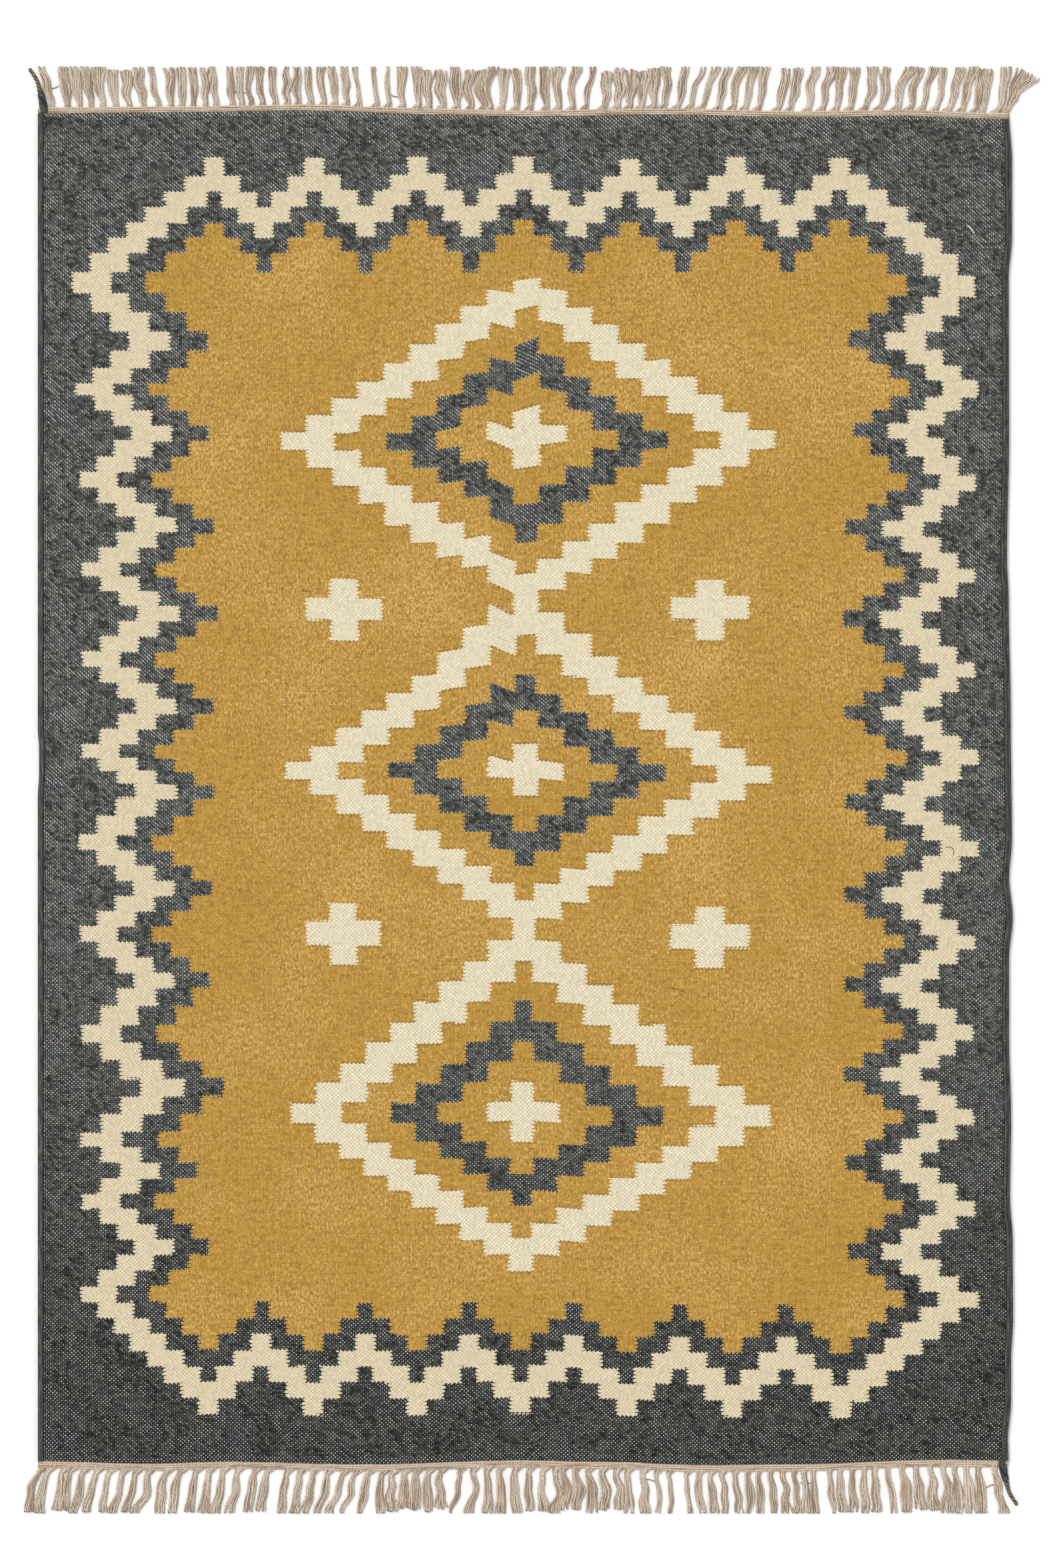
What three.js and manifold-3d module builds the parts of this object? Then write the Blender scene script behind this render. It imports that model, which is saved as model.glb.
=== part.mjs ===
// Flat-woven kilim rug with bound side edges and a jute fringe at both ends.
// Sizes are in millimetres. The rug lies flat on z = 0 with its length along Y.
import * as THREE from "three";
import { mergeVertices } from "three/addons/utils/BufferGeometryUtils.js";
import Module from "manifold-3d";

const wasm = await Module();
wasm.setup();

// Driving sizes of the woven body
const BODY_WIDTH = 1200;
const BODY_LENGTH = 1662;
const GROUND_THICKNESS = 5;
const GROUND_EDGE_ROUNDING = 0.8;
const PIECE_GAP = 0.3;

// Driving sizes of the bound side edges
const SELVEDGE_WIDTH_LEFT = 7;
const SELVEDGE_WIDTH_RIGHT = 8;
const SELVEDGE_HEIGHT = 6.5;
const SELVEDGE_SIDES = 8;

// Driving sizes of the headings and the fringe
const HEADING_HEIGHT = 4;
const HEADING_DEPTH_TOP = 7;
const HEADING_DEPTH_BOTTOM = 8.2;
const FRINGE_REACH_TOP = 60;
const FRINGE_REACH_BOTTOM = 63.4;
const HALF_TURN_SHIFT = 2.7;
const LOCK_SIDES = 4;
const LOCK_SEGMENTS = 6;
const LOCK_ROOT_WIDTH = 5;
const LOCK_ROOT_HEIGHT = 3;
const LOCK_TIP_HEIGHT = 2.2;
const LOCK_ROOT_DEPTH = 4;
const LOCK_CLEARANCE = 0.8;
const LOCK_EDGE_MARGIN = 7;

const RIGHT = BODY_WIDTH / 2;
const LEFT = -RIGHT;
const TOP = BODY_LENGTH / 2;
const BOTTOM = -TOP;
const EDGE_SAMPLES = 48;

// Uneven edges: distance from the left or upper end, and offset to the right or outward
const LEFT_EDGE = [
  { at: 0, offset: 0 }, { at: 760, offset: 0 }, { at: 780, offset: 1.6 },
  { at: 815, offset: 1.6 }, { at: 840, offset: 0 }, { at: 1662, offset: 0 },
];
const RIGHT_EDGE = [
  { at: 0, offset: -1 }, { at: 55, offset: 2.5 }, { at: 150, offset: 2.5 },
  { at: 200, offset: -1.5 }, { at: 400, offset: -1 }, { at: 545, offset: -3.5 },
  { at: 600, offset: -1.5 }, { at: 745, offset: 1 }, { at: 895, offset: 2.5 },
  { at: 940, offset: -1 }, { at: 990, offset: 3.5 }, { at: 1040, offset: -1 },
  { at: 1140, offset: -1 }, { at: 1240, offset: 1.5 }, { at: 1335, offset: 0 },
  { at: 1390, offset: 3.5 }, { at: 1485, offset: 4 }, { at: 1535, offset: 1.5 },
  { at: 1585, offset: 1.5 }, { at: 1635, offset: -2.5 }, { at: 1662, offset: -1.5 },
];
const TOP_EDGE = [
  { at: 0, offset: 2 }, { at: 170, offset: 3 }, { at: 330, offset: 5.3 },
  { at: 495, offset: 0.4 }, { at: 595, offset: -2 }, { at: 760, offset: 0.4 },
  { at: 960, offset: -2.9 }, { at: 1055, offset: -1.2 }, { at: 1200, offset: -5.5 },
];
const BOTTOM_EDGE = [
  { at: 0, offset: -1.6 }, { at: 135, offset: 1.6 }, { at: 235, offset: -0.8 },
  { at: 400, offset: 2.5 }, { at: 595, offset: -2.5 }, { at: 695, offset: -0.8 },
  { at: 825, offset: 3.3 }, { at: 925, offset: 2.5 }, { at: 1120, offset: -3.3 },
  { at: 1200, offset: -2 },
];

// Runs of fringe locks: first root from the left edge, how many and how far apart,
// lean of the middle and the tip, width, and how far the tips may fall short
const LOCK_RUNS = [
  { first: 17, locks: 5, pitch: 16.5, middle: -3, tip: -9, width: 10, ragged: 4 },
  { first: 99, locks: 4, pitch: 16.3, middle: -5, tip: -9, width: 10, ragged: 8 },
  { first: 162, locks: 3, pitch: 14, middle: -1, tip: -2, width: 9, ragged: 4 },
  { first: 207, locks: 4, pitch: 15, middle: -3, tip: -4, width: 8, ragged: 2 },
  { first: 266, locks: 6, pitch: 14.6, middle: -5, tip: -4, width: 9, ragged: 2 },
  { first: 352, locks: 4, pitch: 10.6, middle: -4, tip: -4, width: 7, ragged: 2 },
  { first: 400, locks: 3, pitch: 17.5, middle: -3, tip: -6, width: 6, ragged: 2 },
  { first: 454, locks: 4, pitch: 15.7, middle: -1, tip: -2, width: 11, ragged: 4 },
  { first: 520, locks: 3, pitch: 14, middle: -9, tip: -8, width: 9, ragged: 2 },
  { first: 561, locks: 4, pitch: 15.5, middle: -3, tip: -2, width: 10, ragged: 3 },
  { first: 629, locks: 3, pitch: 17, middle: -4, tip: -1, width: 9, ragged: 1 },
  { first: 680, locks: 2, pitch: 19, middle: 2, tip: 7, width: 8, ragged: 4 },
  { first: 715, locks: 5, pitch: 14.8, middle: 2, tip: 2, width: 9, ragged: 2 },
  { first: 792, locks: 3, pitch: 13.5, middle: 3, tip: 13, width: 8, ragged: 1 },
  { first: 842, locks: 3, pitch: 15.5, middle: 4, tip: 11, width: 9, ragged: 3 },
  { first: 889, locks: 2, pitch: 17, middle: 9, tip: 15, width: 7.5, ragged: 1 },
  { first: 931, locks: 4, pitch: 18.3, middle: 2, tip: 10, width: 10, ragged: 2 },
  { first: 1004, locks: 3, pitch: 17, middle: 3, tip: 8, width: 9, ragged: 2 },
  { first: 1060, locks: 4, pitch: 15.7, middle: 5, tip: 12, width: 8, ragged: 1 },
  { first: 1123, locks: 3, pitch: 15.5, middle: 6, tip: 14, width: 8, ragged: 3 },
  { first: 1165, locks: 3, pitch: 9.8, middle: 8, tip: 15, width: 8, ragged: 1 },
];
const LAST_LOCK_TOP = { root: 1195, middle: 1210, tip: 1232, width: 9, short: 9 };
const LAST_LOCK_BOTTOM = { root: 1195, middle: 1206, tip: 1209, width: 9, short: 1 };
const LEAN_WOBBLE = 2;
const WIDTH_WOBBLE = 0.2;

// Cord end past a corner of the cloth: place across and outward, width and height
const CORD_END = [
  { across: 3.5, out: 0.5, width: 7, height: 6.5 },
  { across: 6.1, out: 7, width: 11.5, height: 6.3 },
  { across: 5.1, out: 15, width: 9.5, height: 6 },
  { across: 3.1, out: 22, width: 7, height: 5 },
  { across: 1.2, out: 32, width: 6, height: 4.4 },
  { across: 0, out: 38.5, width: 6, height: 4.2 },
  { across: -3.4, out: 45, width: 5, height: 4 },
  { across: -8, out: 52, width: 4.5, height: 3.6 },
  { across: -11, out: 56, width: 4, height: 3.2 },
];

const MUSTARD = new THREE.MeshStandardMaterial({ color: 0xb98f3c, roughness: 0.95 });
const DARK_CHARCOAL = new THREE.MeshStandardMaterial({ color: 0x34393b, roughness: 0.95 });
const JUTE = new THREE.MeshStandardMaterial({ color: 0xbfae95, roughness: 0.95 });

// Offset of an uneven edge at a distance, eased between the table's rows
function offsetAt(table, distance) {
  const next = table.findIndex(({ at }) => at >= distance);
  if (next === -1) return table[table.length - 1].offset;
  if (next === 0) return table[0].offset;
  const from = table[next - 1];
  const to = table[next];
  const share = THREE.MathUtils.smoothstep(distance, from.at, to.at);
  return THREE.MathUtils.lerp(from.offset, to.offset, share);
}

const leftX = (y) => LEFT + offsetAt(LEFT_EDGE, TOP - y);
const rightX = (y) => RIGHT + offsetAt(RIGHT_EDGE, TOP - y);
const topY = (x) => TOP + offsetAt(TOP_EDGE, x - LEFT);
const bottomY = (x) => BOTTOM - offsetAt(BOTTOM_EDGE, x - LEFT);

// Evenly spaced values from one end to the other
function spread(from, to, count) {
  return Array.from({ length: count }, (_, i) => THREE.MathUtils.lerp(from, to, i / (count - 1)));
}

const inner = (values) => values.slice(1, -1);
const SIDE_STATIONS = inner(spread(BOTTOM, TOP, EDGE_SAMPLES));

// Closed prism over an outline given as [x, y] points in order
function prism(outline, height, rounding) {
  const shape = new THREE.Shape(outline.map(([x, y]) => new THREE.Vector2(x, y)));
  const geometry = new THREE.ExtrudeGeometry(shape, {
    depth: height - 2 * rounding,
    bevelEnabled: rounding > 0,
    bevelThickness: rounding,
    bevelSize: rounding,
    bevelOffset: -rounding,
    bevelSegments: 1,
  });
  geometry.translate(0, 0, rounding);
  return geometry;
}

// Closed bar through stations of { x, y, width, height }, resting level on the floor
function bar(stations, sides, topNarrowing) {
  const last = stations.length - 1;
  const turn = Math.PI / sides;
  const flat = Math.cos(turn);
  const geometry = new THREE.CylinderGeometry(1, 1, 1, sides, last, false, turn);
  const points = geometry.attributes.position;
  for (let i = 0; i < points.count; i += 1) {
    const index = Math.round((points.getY(i) + 0.5) * last);
    const here = stations[index];
    const ahead = stations[Math.min(index + 1, last)];
    const behind = stations[Math.max(index - 1, 0)];
    const along = new THREE.Vector2(ahead.x - behind.x, ahead.y - behind.y).normalize();
    const up = points.getZ(i) / flat;
    const narrowing = up > 0 ? topNarrowing : 1;
    const across = (points.getX(i) / flat) * (here.width / 2) * narrowing;
    points.setXYZ(
      i,
      here.x + along.y * across,
      here.y - along.x * across,
      (here.height * (up + 1)) / 2,
    );
  }
  return geometry;
}

// Fuse closed geometries into one closed geometry
function fuse(geometries) {
  const solids = geometries.map((geometry) => {
    const plain = new THREE.BufferGeometry();
    plain.setAttribute("position", geometry.attributes.position);
    if (geometry.index) plain.setIndex(geometry.index);
    const welded = mergeVertices(plain, 1e-4);
    const mesh = new wasm.Mesh({
      numProp: 3,
      vertProperties: new Float32Array(welded.attributes.position.array),
      triVerts: new Uint32Array(welded.index.array),
    });
    return new wasm.Manifold(mesh);
  });
  const fused = wasm.Manifold.union(solids).getMesh();
  const geometry = new THREE.BufferGeometry();
  geometry.setAttribute("position", new THREE.BufferAttribute(fused.vertProperties, 3));
  geometry.setIndex(new THREE.BufferAttribute(fused.triVerts, 1));
  return geometry;
}

function named(name, geometry, material) {
  geometry.computeVertexNormals();
  const mesh = new THREE.Mesh(geometry, material);
  mesh.name = name;
  return mesh;
}

// The woven cloth between the two bound edges
function wovenGround() {
  const insideLeft = (y) => leftX(y) + SELVEDGE_WIDTH_LEFT + PIECE_GAP;
  const insideRight = (y) => rightX(y) - SELVEDGE_WIDTH_RIGHT - PIECE_GAP;
  const outline = [
    ...spread(insideLeft(BOTTOM), insideRight(BOTTOM), EDGE_SAMPLES).map((x) => [x, bottomY(x)]),
    ...SIDE_STATIONS.map((y) => [insideRight(y), y]),
    ...spread(insideRight(TOP), insideLeft(TOP), EDGE_SAMPLES).map((x) => [x, topY(x)]),
    ...SIDE_STATIONS.toReversed().map((y) => [insideLeft(y), y]),
  ];
  return named("woven_ground", prism(outline, GROUND_THICKNESS, GROUND_EDGE_ROUNDING), MUSTARD);
}

// Stations of the cord that sticks out past a corner of the cloth
function cordEnd(cornerX, cornerY, turn) {
  return CORD_END.map(({ across, out, width, height }) => ({
    x: cornerX + turn * across,
    y: cornerY + turn * out,
    width,
    height,
  }));
}

// Stations of a bound edge along one side of the cloth
function boundEdge(middleX, width, stations) {
  return stations.map((y) => ({ x: middleX(y), y, width, height: SELVEDGE_HEIGHT }));
}

function selvedgeLeft() {
  const middleX = (y) => leftX(y) + SELVEDGE_WIDTH_LEFT / 2;
  const edge = boundEdge(middleX, SELVEDGE_WIDTH_LEFT, [bottomY(LEFT), ...SIDE_STATIONS]);
  const stations = [...edge, ...cordEnd(leftX(TOP), topY(LEFT), 1)];
  return named("selvedge_left", bar(stations, SELVEDGE_SIDES, 1), DARK_CHARCOAL);
}

function selvedgeRight() {
  const middleX = (y) => rightX(y) - SELVEDGE_WIDTH_RIGHT / 2;
  const downwards = [topY(RIGHT) - PIECE_GAP, ...SIDE_STATIONS.toReversed()];
  const edge = boundEdge(middleX, SELVEDGE_WIDTH_RIGHT, downwards);
  const stations = [...edge, ...cordEnd(rightX(BOTTOM), bottomY(RIGHT), -1)];
  return named("selvedge_right", bar(stations, SELVEDGE_SIDES, 1), DARK_CHARCOAL);
}

// A steady unevenness between -1 and 1
const wobble = (index, kind) => Math.sin(7.3 * index + 2.1 * kind);

// Every lock of an end from left to right: root, middle and tip places, width and shortness
function layOutLocks(lastLock) {
  const locks = [];
  for (const run of LOCK_RUNS) {
    for (let i = 0; i < run.locks; i += 1) {
      const index = locks.length;
      const root = run.first + i * run.pitch + wobble(index, 0);
      locks.push({
        root,
        middle: root + run.middle + LEAN_WOBBLE * wobble(index, 1),
        tip: root + run.tip + LEAN_WOBBLE * wobble(index, 2),
        width: run.width * (1 + WIDTH_WOBBLE * wobble(index, 3)),
        short: run.ragged * Math.abs(wobble(index, 4)),
      });
    }
  }
  return [...locks, lastLock];
}

// Ease between root, middle and tip values, so that neighbouring locks never cross
function alongLock(root, middle, tip, t) {
  const smooth = (s) => THREE.MathUtils.smoothstep(s, 0, 1);
  if (t < 0.5) return THREE.MathUtils.lerp(root, middle, smooth(2 * t));
  return THREE.MathUtils.lerp(middle, tip, smooth(2 * t - 1));
}

// Width of a lock at its root, middle or tip, kept clear of its neighbours
function clearWidth(locks, index, station, wanted) {
  const here = locks[index][station];
  const before = index > 0 ? here - locks[index - 1][station] : 2 * LOCK_EDGE_MARGIN;
  const after = index < locks.length - 1 ? locks[index + 1][station] - here : Infinity;
  return Math.min(wanted, before - LOCK_CLEARANCE, after - LOCK_CLEARANCE);
}

// One fringe lock, laid out from inside the heading to its tip
function fringeLock(locks, index, end) {
  const { root, middle, tip, width, short } = locks[index];
  const rootWidth = clearWidth(locks, index, "root", LOCK_ROOT_WIDTH);
  const middleWidth = clearWidth(locks, index, "middle", width);
  const tipWidth = clearWidth(locks, index, "tip", width);
  const rootX = end.x(root);
  const rootY = end.headingY(rootX);
  const tipY = end.tipLine(end.reach - short);
  const stations = [{
    x: rootX,
    y: rootY - end.outward * LOCK_ROOT_DEPTH,
    width: rootWidth,
    height: LOCK_ROOT_HEIGHT,
  }];
  for (const t of spread(0, 1, LOCK_SEGMENTS + 1)) {
    stations.push({
      x: end.x(alongLock(root, middle, tip, t)),
      y: THREE.MathUtils.lerp(rootY, tipY, t),
      width: alongLock(rootWidth, middleWidth, tipWidth, t),
      height: THREE.MathUtils.lerp(LOCK_ROOT_HEIGHT, LOCK_TIP_HEIGHT, t),
    });
  }
  return bar(stations, LOCK_SIDES, 0.75);
}

// A heading strip with its row of locks fused to it
function fringe(name, end) {
  const inner = spread(end.from, end.to, EDGE_SAMPLES).map((x) => [x, end.clothY(x)]);
  const outer = spread(end.to, end.from, EDGE_SAMPLES).map((x) => [x, end.headingY(x)]);
  const heading = prism([...inner, ...outer], HEADING_HEIGHT, 0);
  const locks = layOutLocks(end.lastLock);
  const solids = locks.map((_, index) => fringeLock(locks, index, end));
  return named(name, fuse([heading, ...solids]), JUTE);
}

const TOP_END = {
  outward: 1,
  lastLock: LAST_LOCK_TOP,
  reach: FRINGE_REACH_TOP,
  from: LEFT + 12.8,
  to: RIGHT - 1,
  x: (along) => LEFT + along,
  clothY: (x) => topY(x) + PIECE_GAP,
  headingY: (x) => topY(x) + HEADING_DEPTH_TOP,
  tipLine: (reach) => TOP + reach,
};

// The lower end is the upper end after a half turn
const BOTTOM_END = {
  outward: -1,
  lastLock: LAST_LOCK_BOTTOM,
  reach: FRINGE_REACH_BOTTOM,
  from: RIGHT - 14.8,
  to: LEFT + 0.5,
  x: (along) => RIGHT - HALF_TURN_SHIFT - along,
  clothY: (x) => bottomY(x) - PIECE_GAP,
  headingY: (x) => bottomY(x) - HEADING_DEPTH_BOTTOM,
  tipLine: (reach) => BOTTOM - reach,
};

// The whole rug, centred on its bounding box
function kilimRug() {
  const rug = new THREE.Group();
  rug.name = "kilim_rug";
  rug.add(
    wovenGround(),
    selvedgeLeft(),
    selvedgeRight(),
    fringe("fringe_top", TOP_END),
    fringe("fringe_bottom", BOTTOM_END),
  );
  const centre = new THREE.Box3().setFromObject(rug).getCenter(new THREE.Vector3());
  for (const piece of rug.children) {
    piece.geometry.translate(-centre.x, -centre.y, 0);
  }
  return rug;
}

export default kilimRug();
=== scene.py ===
"""Flat-woven kilim rug with bound side edges, twined headings and jute fringes.

Sizes in the tables are millimetres on the rug as it lies, across from its left edge and
down from its upper edge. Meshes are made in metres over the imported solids.
"""
import math

import bpy
import numpy as np
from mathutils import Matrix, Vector


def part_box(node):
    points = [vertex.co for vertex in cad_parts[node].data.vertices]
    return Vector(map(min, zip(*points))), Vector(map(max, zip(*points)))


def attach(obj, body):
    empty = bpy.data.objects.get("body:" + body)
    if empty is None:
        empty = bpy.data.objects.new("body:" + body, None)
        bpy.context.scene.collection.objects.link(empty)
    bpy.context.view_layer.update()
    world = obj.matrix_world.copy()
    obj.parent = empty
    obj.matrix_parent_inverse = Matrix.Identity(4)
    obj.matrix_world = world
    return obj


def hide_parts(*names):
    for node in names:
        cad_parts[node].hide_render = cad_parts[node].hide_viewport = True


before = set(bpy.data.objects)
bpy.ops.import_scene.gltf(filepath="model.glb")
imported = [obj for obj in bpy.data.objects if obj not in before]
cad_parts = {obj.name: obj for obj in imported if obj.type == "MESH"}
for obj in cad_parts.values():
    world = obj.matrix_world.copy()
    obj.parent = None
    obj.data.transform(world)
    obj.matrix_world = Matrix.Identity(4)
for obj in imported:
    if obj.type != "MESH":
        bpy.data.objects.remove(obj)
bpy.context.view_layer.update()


def table(columns, *rows):
    """Rows as dictionaries, keyed by the names of their columns."""
    return [dict(zip(columns.split(), row)) for row in rows]


# Driving sizes of the woven body
MILLIMETRE = 0.001
BODY_WIDTH = 1200
BODY_LENGTH = 1662
GROUND_THICKNESS = 5
PIECE_GAP = 0.3
SELVEDGE_WIDTH_LEFT = 7
SELVEDGE_WIDTH_RIGHT = 8
SELVEDGE_HEIGHT = 6.5
LEFT = -BODY_WIDTH / 2
RIGHT = BODY_WIDTH / 2
TOP = BODY_LENGTH / 2
BOTTOM = -BODY_LENGTH / 2

# Threads of the cloth, and how many of them a step of the border and of the field takes
WARPS = 458
PICKS = 700
BORDER_WARPS = 8.6
BORDER_PICKS = 8.2
FIELD_WARPS = 12.1
FIELD_PICKS = 9.9

# Fingers of weft where two colours meet, in warps, and the scalloped line between two rows
TOOTH_DEPTH = 2.0
TOOTH_UNEVEN = {"least": 0.7, "more": 0.6}
FINGER_ROUNDNESS = 3.0
SCALLOP_DEPTH = 0.7
LAST_PICKS = 1.3

# Grid of the woven ground's mesh, its rounded rim and its low relief
GROUND_COLUMNS = 200
GROUND_ROWS = 226
RIM_RADIUS = 0.9
RIM_STEPS = (0, 0.25, 1)
RELIEF = 0.35
RELIEF_FADE = 12
PUCKER_RELIEF = 0.06
UNDERSIDE_HEIGHT = 0.1

# Places of both sides in the map for baking
BAKE_BOTTOM = 0.004
BAKE_HEIGHT = 0.992
BAKE_UPPER_SIDE = {"start": 0.004, "width": 0.775}
BAKE_UNDERSIDE = {"start": 0.79, "width": 0.206}

# Wool bound along the edges
STITCH_LEFT = 3.6
STITCH_RIGHT = 4.6
STITCH_STATIONS = 4
EDGE_SIDES = 12
EDGE_LEAN = 0.25
EDGE_FULLNESS = 0.55
EDGE_WIDTHS = {"least": 0.975, "wrap": 0.02, "uneven": 0.005}
EDGE_HEIGHTS = {"least": 0.97, "wrap": 0.03}
LADDER_PITCH = 4.6

# How far the plies of a yarn or a cord stand out, over its radius
YARN_LOBES = 0.1

# Headings: rows of twine, their size over the pitch of the rows, and a patch beside the cord end
HEADING_DEPTH_TOP = 7
HEADING_DEPTH_BOTTOM = 8.2
HEADING_HEIGHT = 4
TWINE_PITCH = 1.25
TWINE_STEP = 1.3
TWINE_TURN = 5
TWINE_WIDTH = 1.9
TWINE_HEIGHT = 0.9
TWINE_FULLNESS = 0.7
TWINE_WANDER = 0.25
PATCH_FROM = 0.5
PATCH_REACH = 4.8
PATCH_ROWS = (1, 2.4, 3.8, 5.2)
PATCH_WIDTH = 1.7
PATCH_HEIGHT = 3.6

# Fringe, whose lower row is the upper one after a half turn
FRINGE_REACH_TOP = 60
FRINGE_REACH_BOTTOM = 63.4
HALF_TURN_SHIFT = 2.7
ROOT_SPAN = 3.2
ROOT_INSIDE = 4

# Roots reach aside along the heading, least before a place across, and the first strand most
FIN_REACH = 8
FIN_LEAST = 0.25
FIN_GROWTH = {"from": 250, "over": 200}
FIN_STRANDS = {"first": 0.9, "last": 0.15}
FIN_LENGTH = 0.13

# Plied strands of a lock, how they wander as shares or in millimetres, and how every other one lies
STRAND_RADIUS = 1.45
STRAND_SPACING = 2.2
STRAND_TWIST_LENGTH = 12
STRAND_STATIONS = 28
STRANDS_LEAST = 3
STRANDS_MOST = 9
STRAND_THICKNESS = (0.85, 1.1)
STRAND_TAPER = 0.08
LOCK_SWAY = 0.55
STRAND_WANDER = 0.25
TIP_STRAY = 1.3
TIP_SHORTNESS = 0.5
LAYER = {"height": 1.3, "rise": 0.06, "sink": 0.6}
STRAND_HEIGHT = 1.32
STRAND_RIPPLE = 0.2

# Uneven edges: distance from the left or upper end, and offset to the right or outward
LEFT_EDGE = table(
    "at offset",
    (0, 0), (760, 0), (780, 1.6), (815, 1.6), (840, 0), (1662, 0),
)
RIGHT_EDGE = table(
    "at offset",
    (0, -1), (55, 2.5), (150, 2.5), (200, -1.5), (400, -1), (545, -3.5), (600, -1.5), (745, 1),
    (895, 2.5), (940, -1), (990, 3.5), (1040, -1), (1140, -1), (1240, 1.5), (1335, 0),
    (1390, 3.5), (1485, 4), (1535, 1.5), (1585, 1.5), (1635, -2.5), (1662, -1.5),
)
TOP_EDGE = table(
    "at offset",
    (0, 2), (170, 3), (330, 5.3), (495, 0.4), (595, -2), (760, 0.4), (960, -2.9), (1055, -1.2),
    (1200, -5.5),
)
BOTTOM_EDGE = table(
    "at offset",
    (0, -1.6), (135, 1.6), (235, -0.8), (400, 2.5), (595, -2.5), (695, -0.8), (825, 3.3),
    (925, 2.5), (1120, -3.3), (1200, -2),
)

# Upper lines of the border's rows of steps, down from the upper edge at the left and right
BORDER_ROWS = table(
    "row left right",
    (-2, 2, 2), (0, 52, 52), (1, 75, 73), (4, 134, 131), (6, 170, 171), (8, 221, 225),
    (11, 293, 290), (13, 333, 326), (14, 347, 347), (17, 403, 398), (19, 442, 443),
    (25, 554, 559), (28, 606, 613), (31, 663, 677), (37, 777, 785), (41, 843, 861),
    (43, 889, 897), (49, 1003, 1013), (53, 1080, 1084), (56, 1147, 1142), (61, 1257, 1227),
    (64, 1312, 1281), (66, 1312, 1319), (67, 1333, 1340), (70, 1389, 1394), (74, 1467, 1472),
    (81, 1607, 1610), (83, 1660, 1660),
)
# On the left two rows of one tip were left out, so the rows jump there
JUMP_SHARE = 1312 / BODY_LENGTH
JUMP_FROM_ROW = 64
JUMP_TO_ROW = 66
# Share of a row, more than one pick, that the row numbers keep away from that jump
ROW_MARGIN = 0.16
# Places across between which the lines of the left side turn into those of the right side
BLEND_FROM = 245
BLEND_TO = 1100

# Outer line of the border's outermost columns by row, and inner line of its side columns
BORDER_OUTER = table(
    "row left right",
    (7, 44, 1155), (13, 48, 1159), (19, 53, 1156), (25, 56, 1155), (31, 57, 1155),
    (37, 56, 1160), (43, 52, 1160), (49, 54, 1156), (55, 56, 1153), (61, 56, 1154),
    (67, 57, 1155), (73, 55, 1159),
)
BORDER_INNER = table(
    "row left right",
    (6, 208, 1000), (10, 211, 999), (16, 212, 1005), (22, 218, 996), (28, 224, 992),
    (34, 218, 994), (40, 220, 995), (52, 212, 994), (58, 232, 994), (70, 214, 998),
    (76, 200, 1002),
)
# Middles of the tips that point outward in the upper and lower border
BORDER_TIPS = table(
    "column top bottom",
    (-12, 341, 340), (-6, 469, 468), (0, 600, 596), (6, 731, 727), (12, 862, 857),
)
# How far the columns between those two lines lie to the right of their middle
BORDER_SIDE_SHIFT = table(
    "row left right",
    (10, -4, 6), (43, -4, 5), (61, -3, 4), (76, -2, -2),
)
BORDER_HALF_COLUMNS = 25.5
BORDER_INNER_COLUMN = 18.5
# Steps from tip to tip, the first tip of the sides, the last row, and how deep the yarns reach
TIP_SPACING = 6
FIRST_SIDE_TIP = 7
BORDER_LAST_ROW = 80
BORDER_CREAM = 1.5
BORDER_CHARCOAL = 3.5

# Upper lines of the medallions' rows of steps, numbered from the middle of the first one
FIELD_ROWS = table(
    "row left right",
    (-12, 150, 150), (-9, 208, 206), (-8, 221, 218), (-6, 261, 263), (-3, 331, 325),
    (0, 393, 392), (4, 479, 481), (5, 507, 507), (7, 549, 550), (8, 562, 569), (9, 585, 588),
    (10, 612, 617), (13, 692, 697), (17, 778, 784), (20, 839, 847), (23, 907, 914),
    (27, 991, 995), (28, 1022, 1025), (34, 1173, 1176), (38, 1270, 1276), (42, 1351, 1354),
    (46, 1431, 1432), (49, 1500, 1500),
)
# Left edge of the medallions, the two edges of their middle column, and their right edge
FIELD_COLUMNS = table(
    "row left middle_left middle_right right",
    (0, 301, 588, 619, 908), (12, 307, 589, 616, 907), (20, 307, 588, 616, 903),
    (32, 316, 588, 610, 904), (44, 311, 583, 610, 901),
)
FIELD_EDGE_COLUMN = 9.5
FIELD_FIRST_ROW = -9
FIELD_LAST_ROW = 45
FIELD_BLEND_FROM = 301
FIELD_BLEND_TO = 911
# Steps from a medallion's middle to its end, and the rings that its yarns take up
MEDALLION_REACH = 9
MEDALLION_CROSS = 1.5
MEDALLION_CHARCOAL = (3.5, 5.5)
MEDALLION_CREAM = (7.5, 9.5)

# Small crosses between the medallions: middles in columns and rows of the field, and their size
SMALL_CROSSES = table(
    "column row",
    (-7.2, 9.9), (7.1, 9.8), (-7.4, 27.7), (7.2, 27.68),
)
CROSS_REACH = 1.45
CROSS_ARM = 0.5

# How far the weft lines are drawn up near the middle, by distance down and at four warps
PUCKER_ACROSS = {"fade_left": 480, "a": 558, "b": 588, "c": 619, "d": 650, "fade_right": 694}
PUCKER = table(
    "down a b c d",
    (180, 0, 0, 0, 0),
    (210, 2, -2, 4, 0),
    (277, 6, -3, 9, 1),
    (317, 10, -3, 11, 4),
    (359, 13, 4, 14, 7),
    (379, 14, 5, 10, 8),
    (408, 12, 0, 6.5, 9.5),
    (432, 11, -2, 2.5, 3),
    (526, 8, -2, 0, 0),
    (616, 10.7, -6, 0, 0),
    (699, 14, 2, 0, 0),
    (745, 10.7, 2, 1, 0),
    (791, 9, 1.6, 4, 0),
    (822, 0, 0, 0, 0),
)

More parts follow.
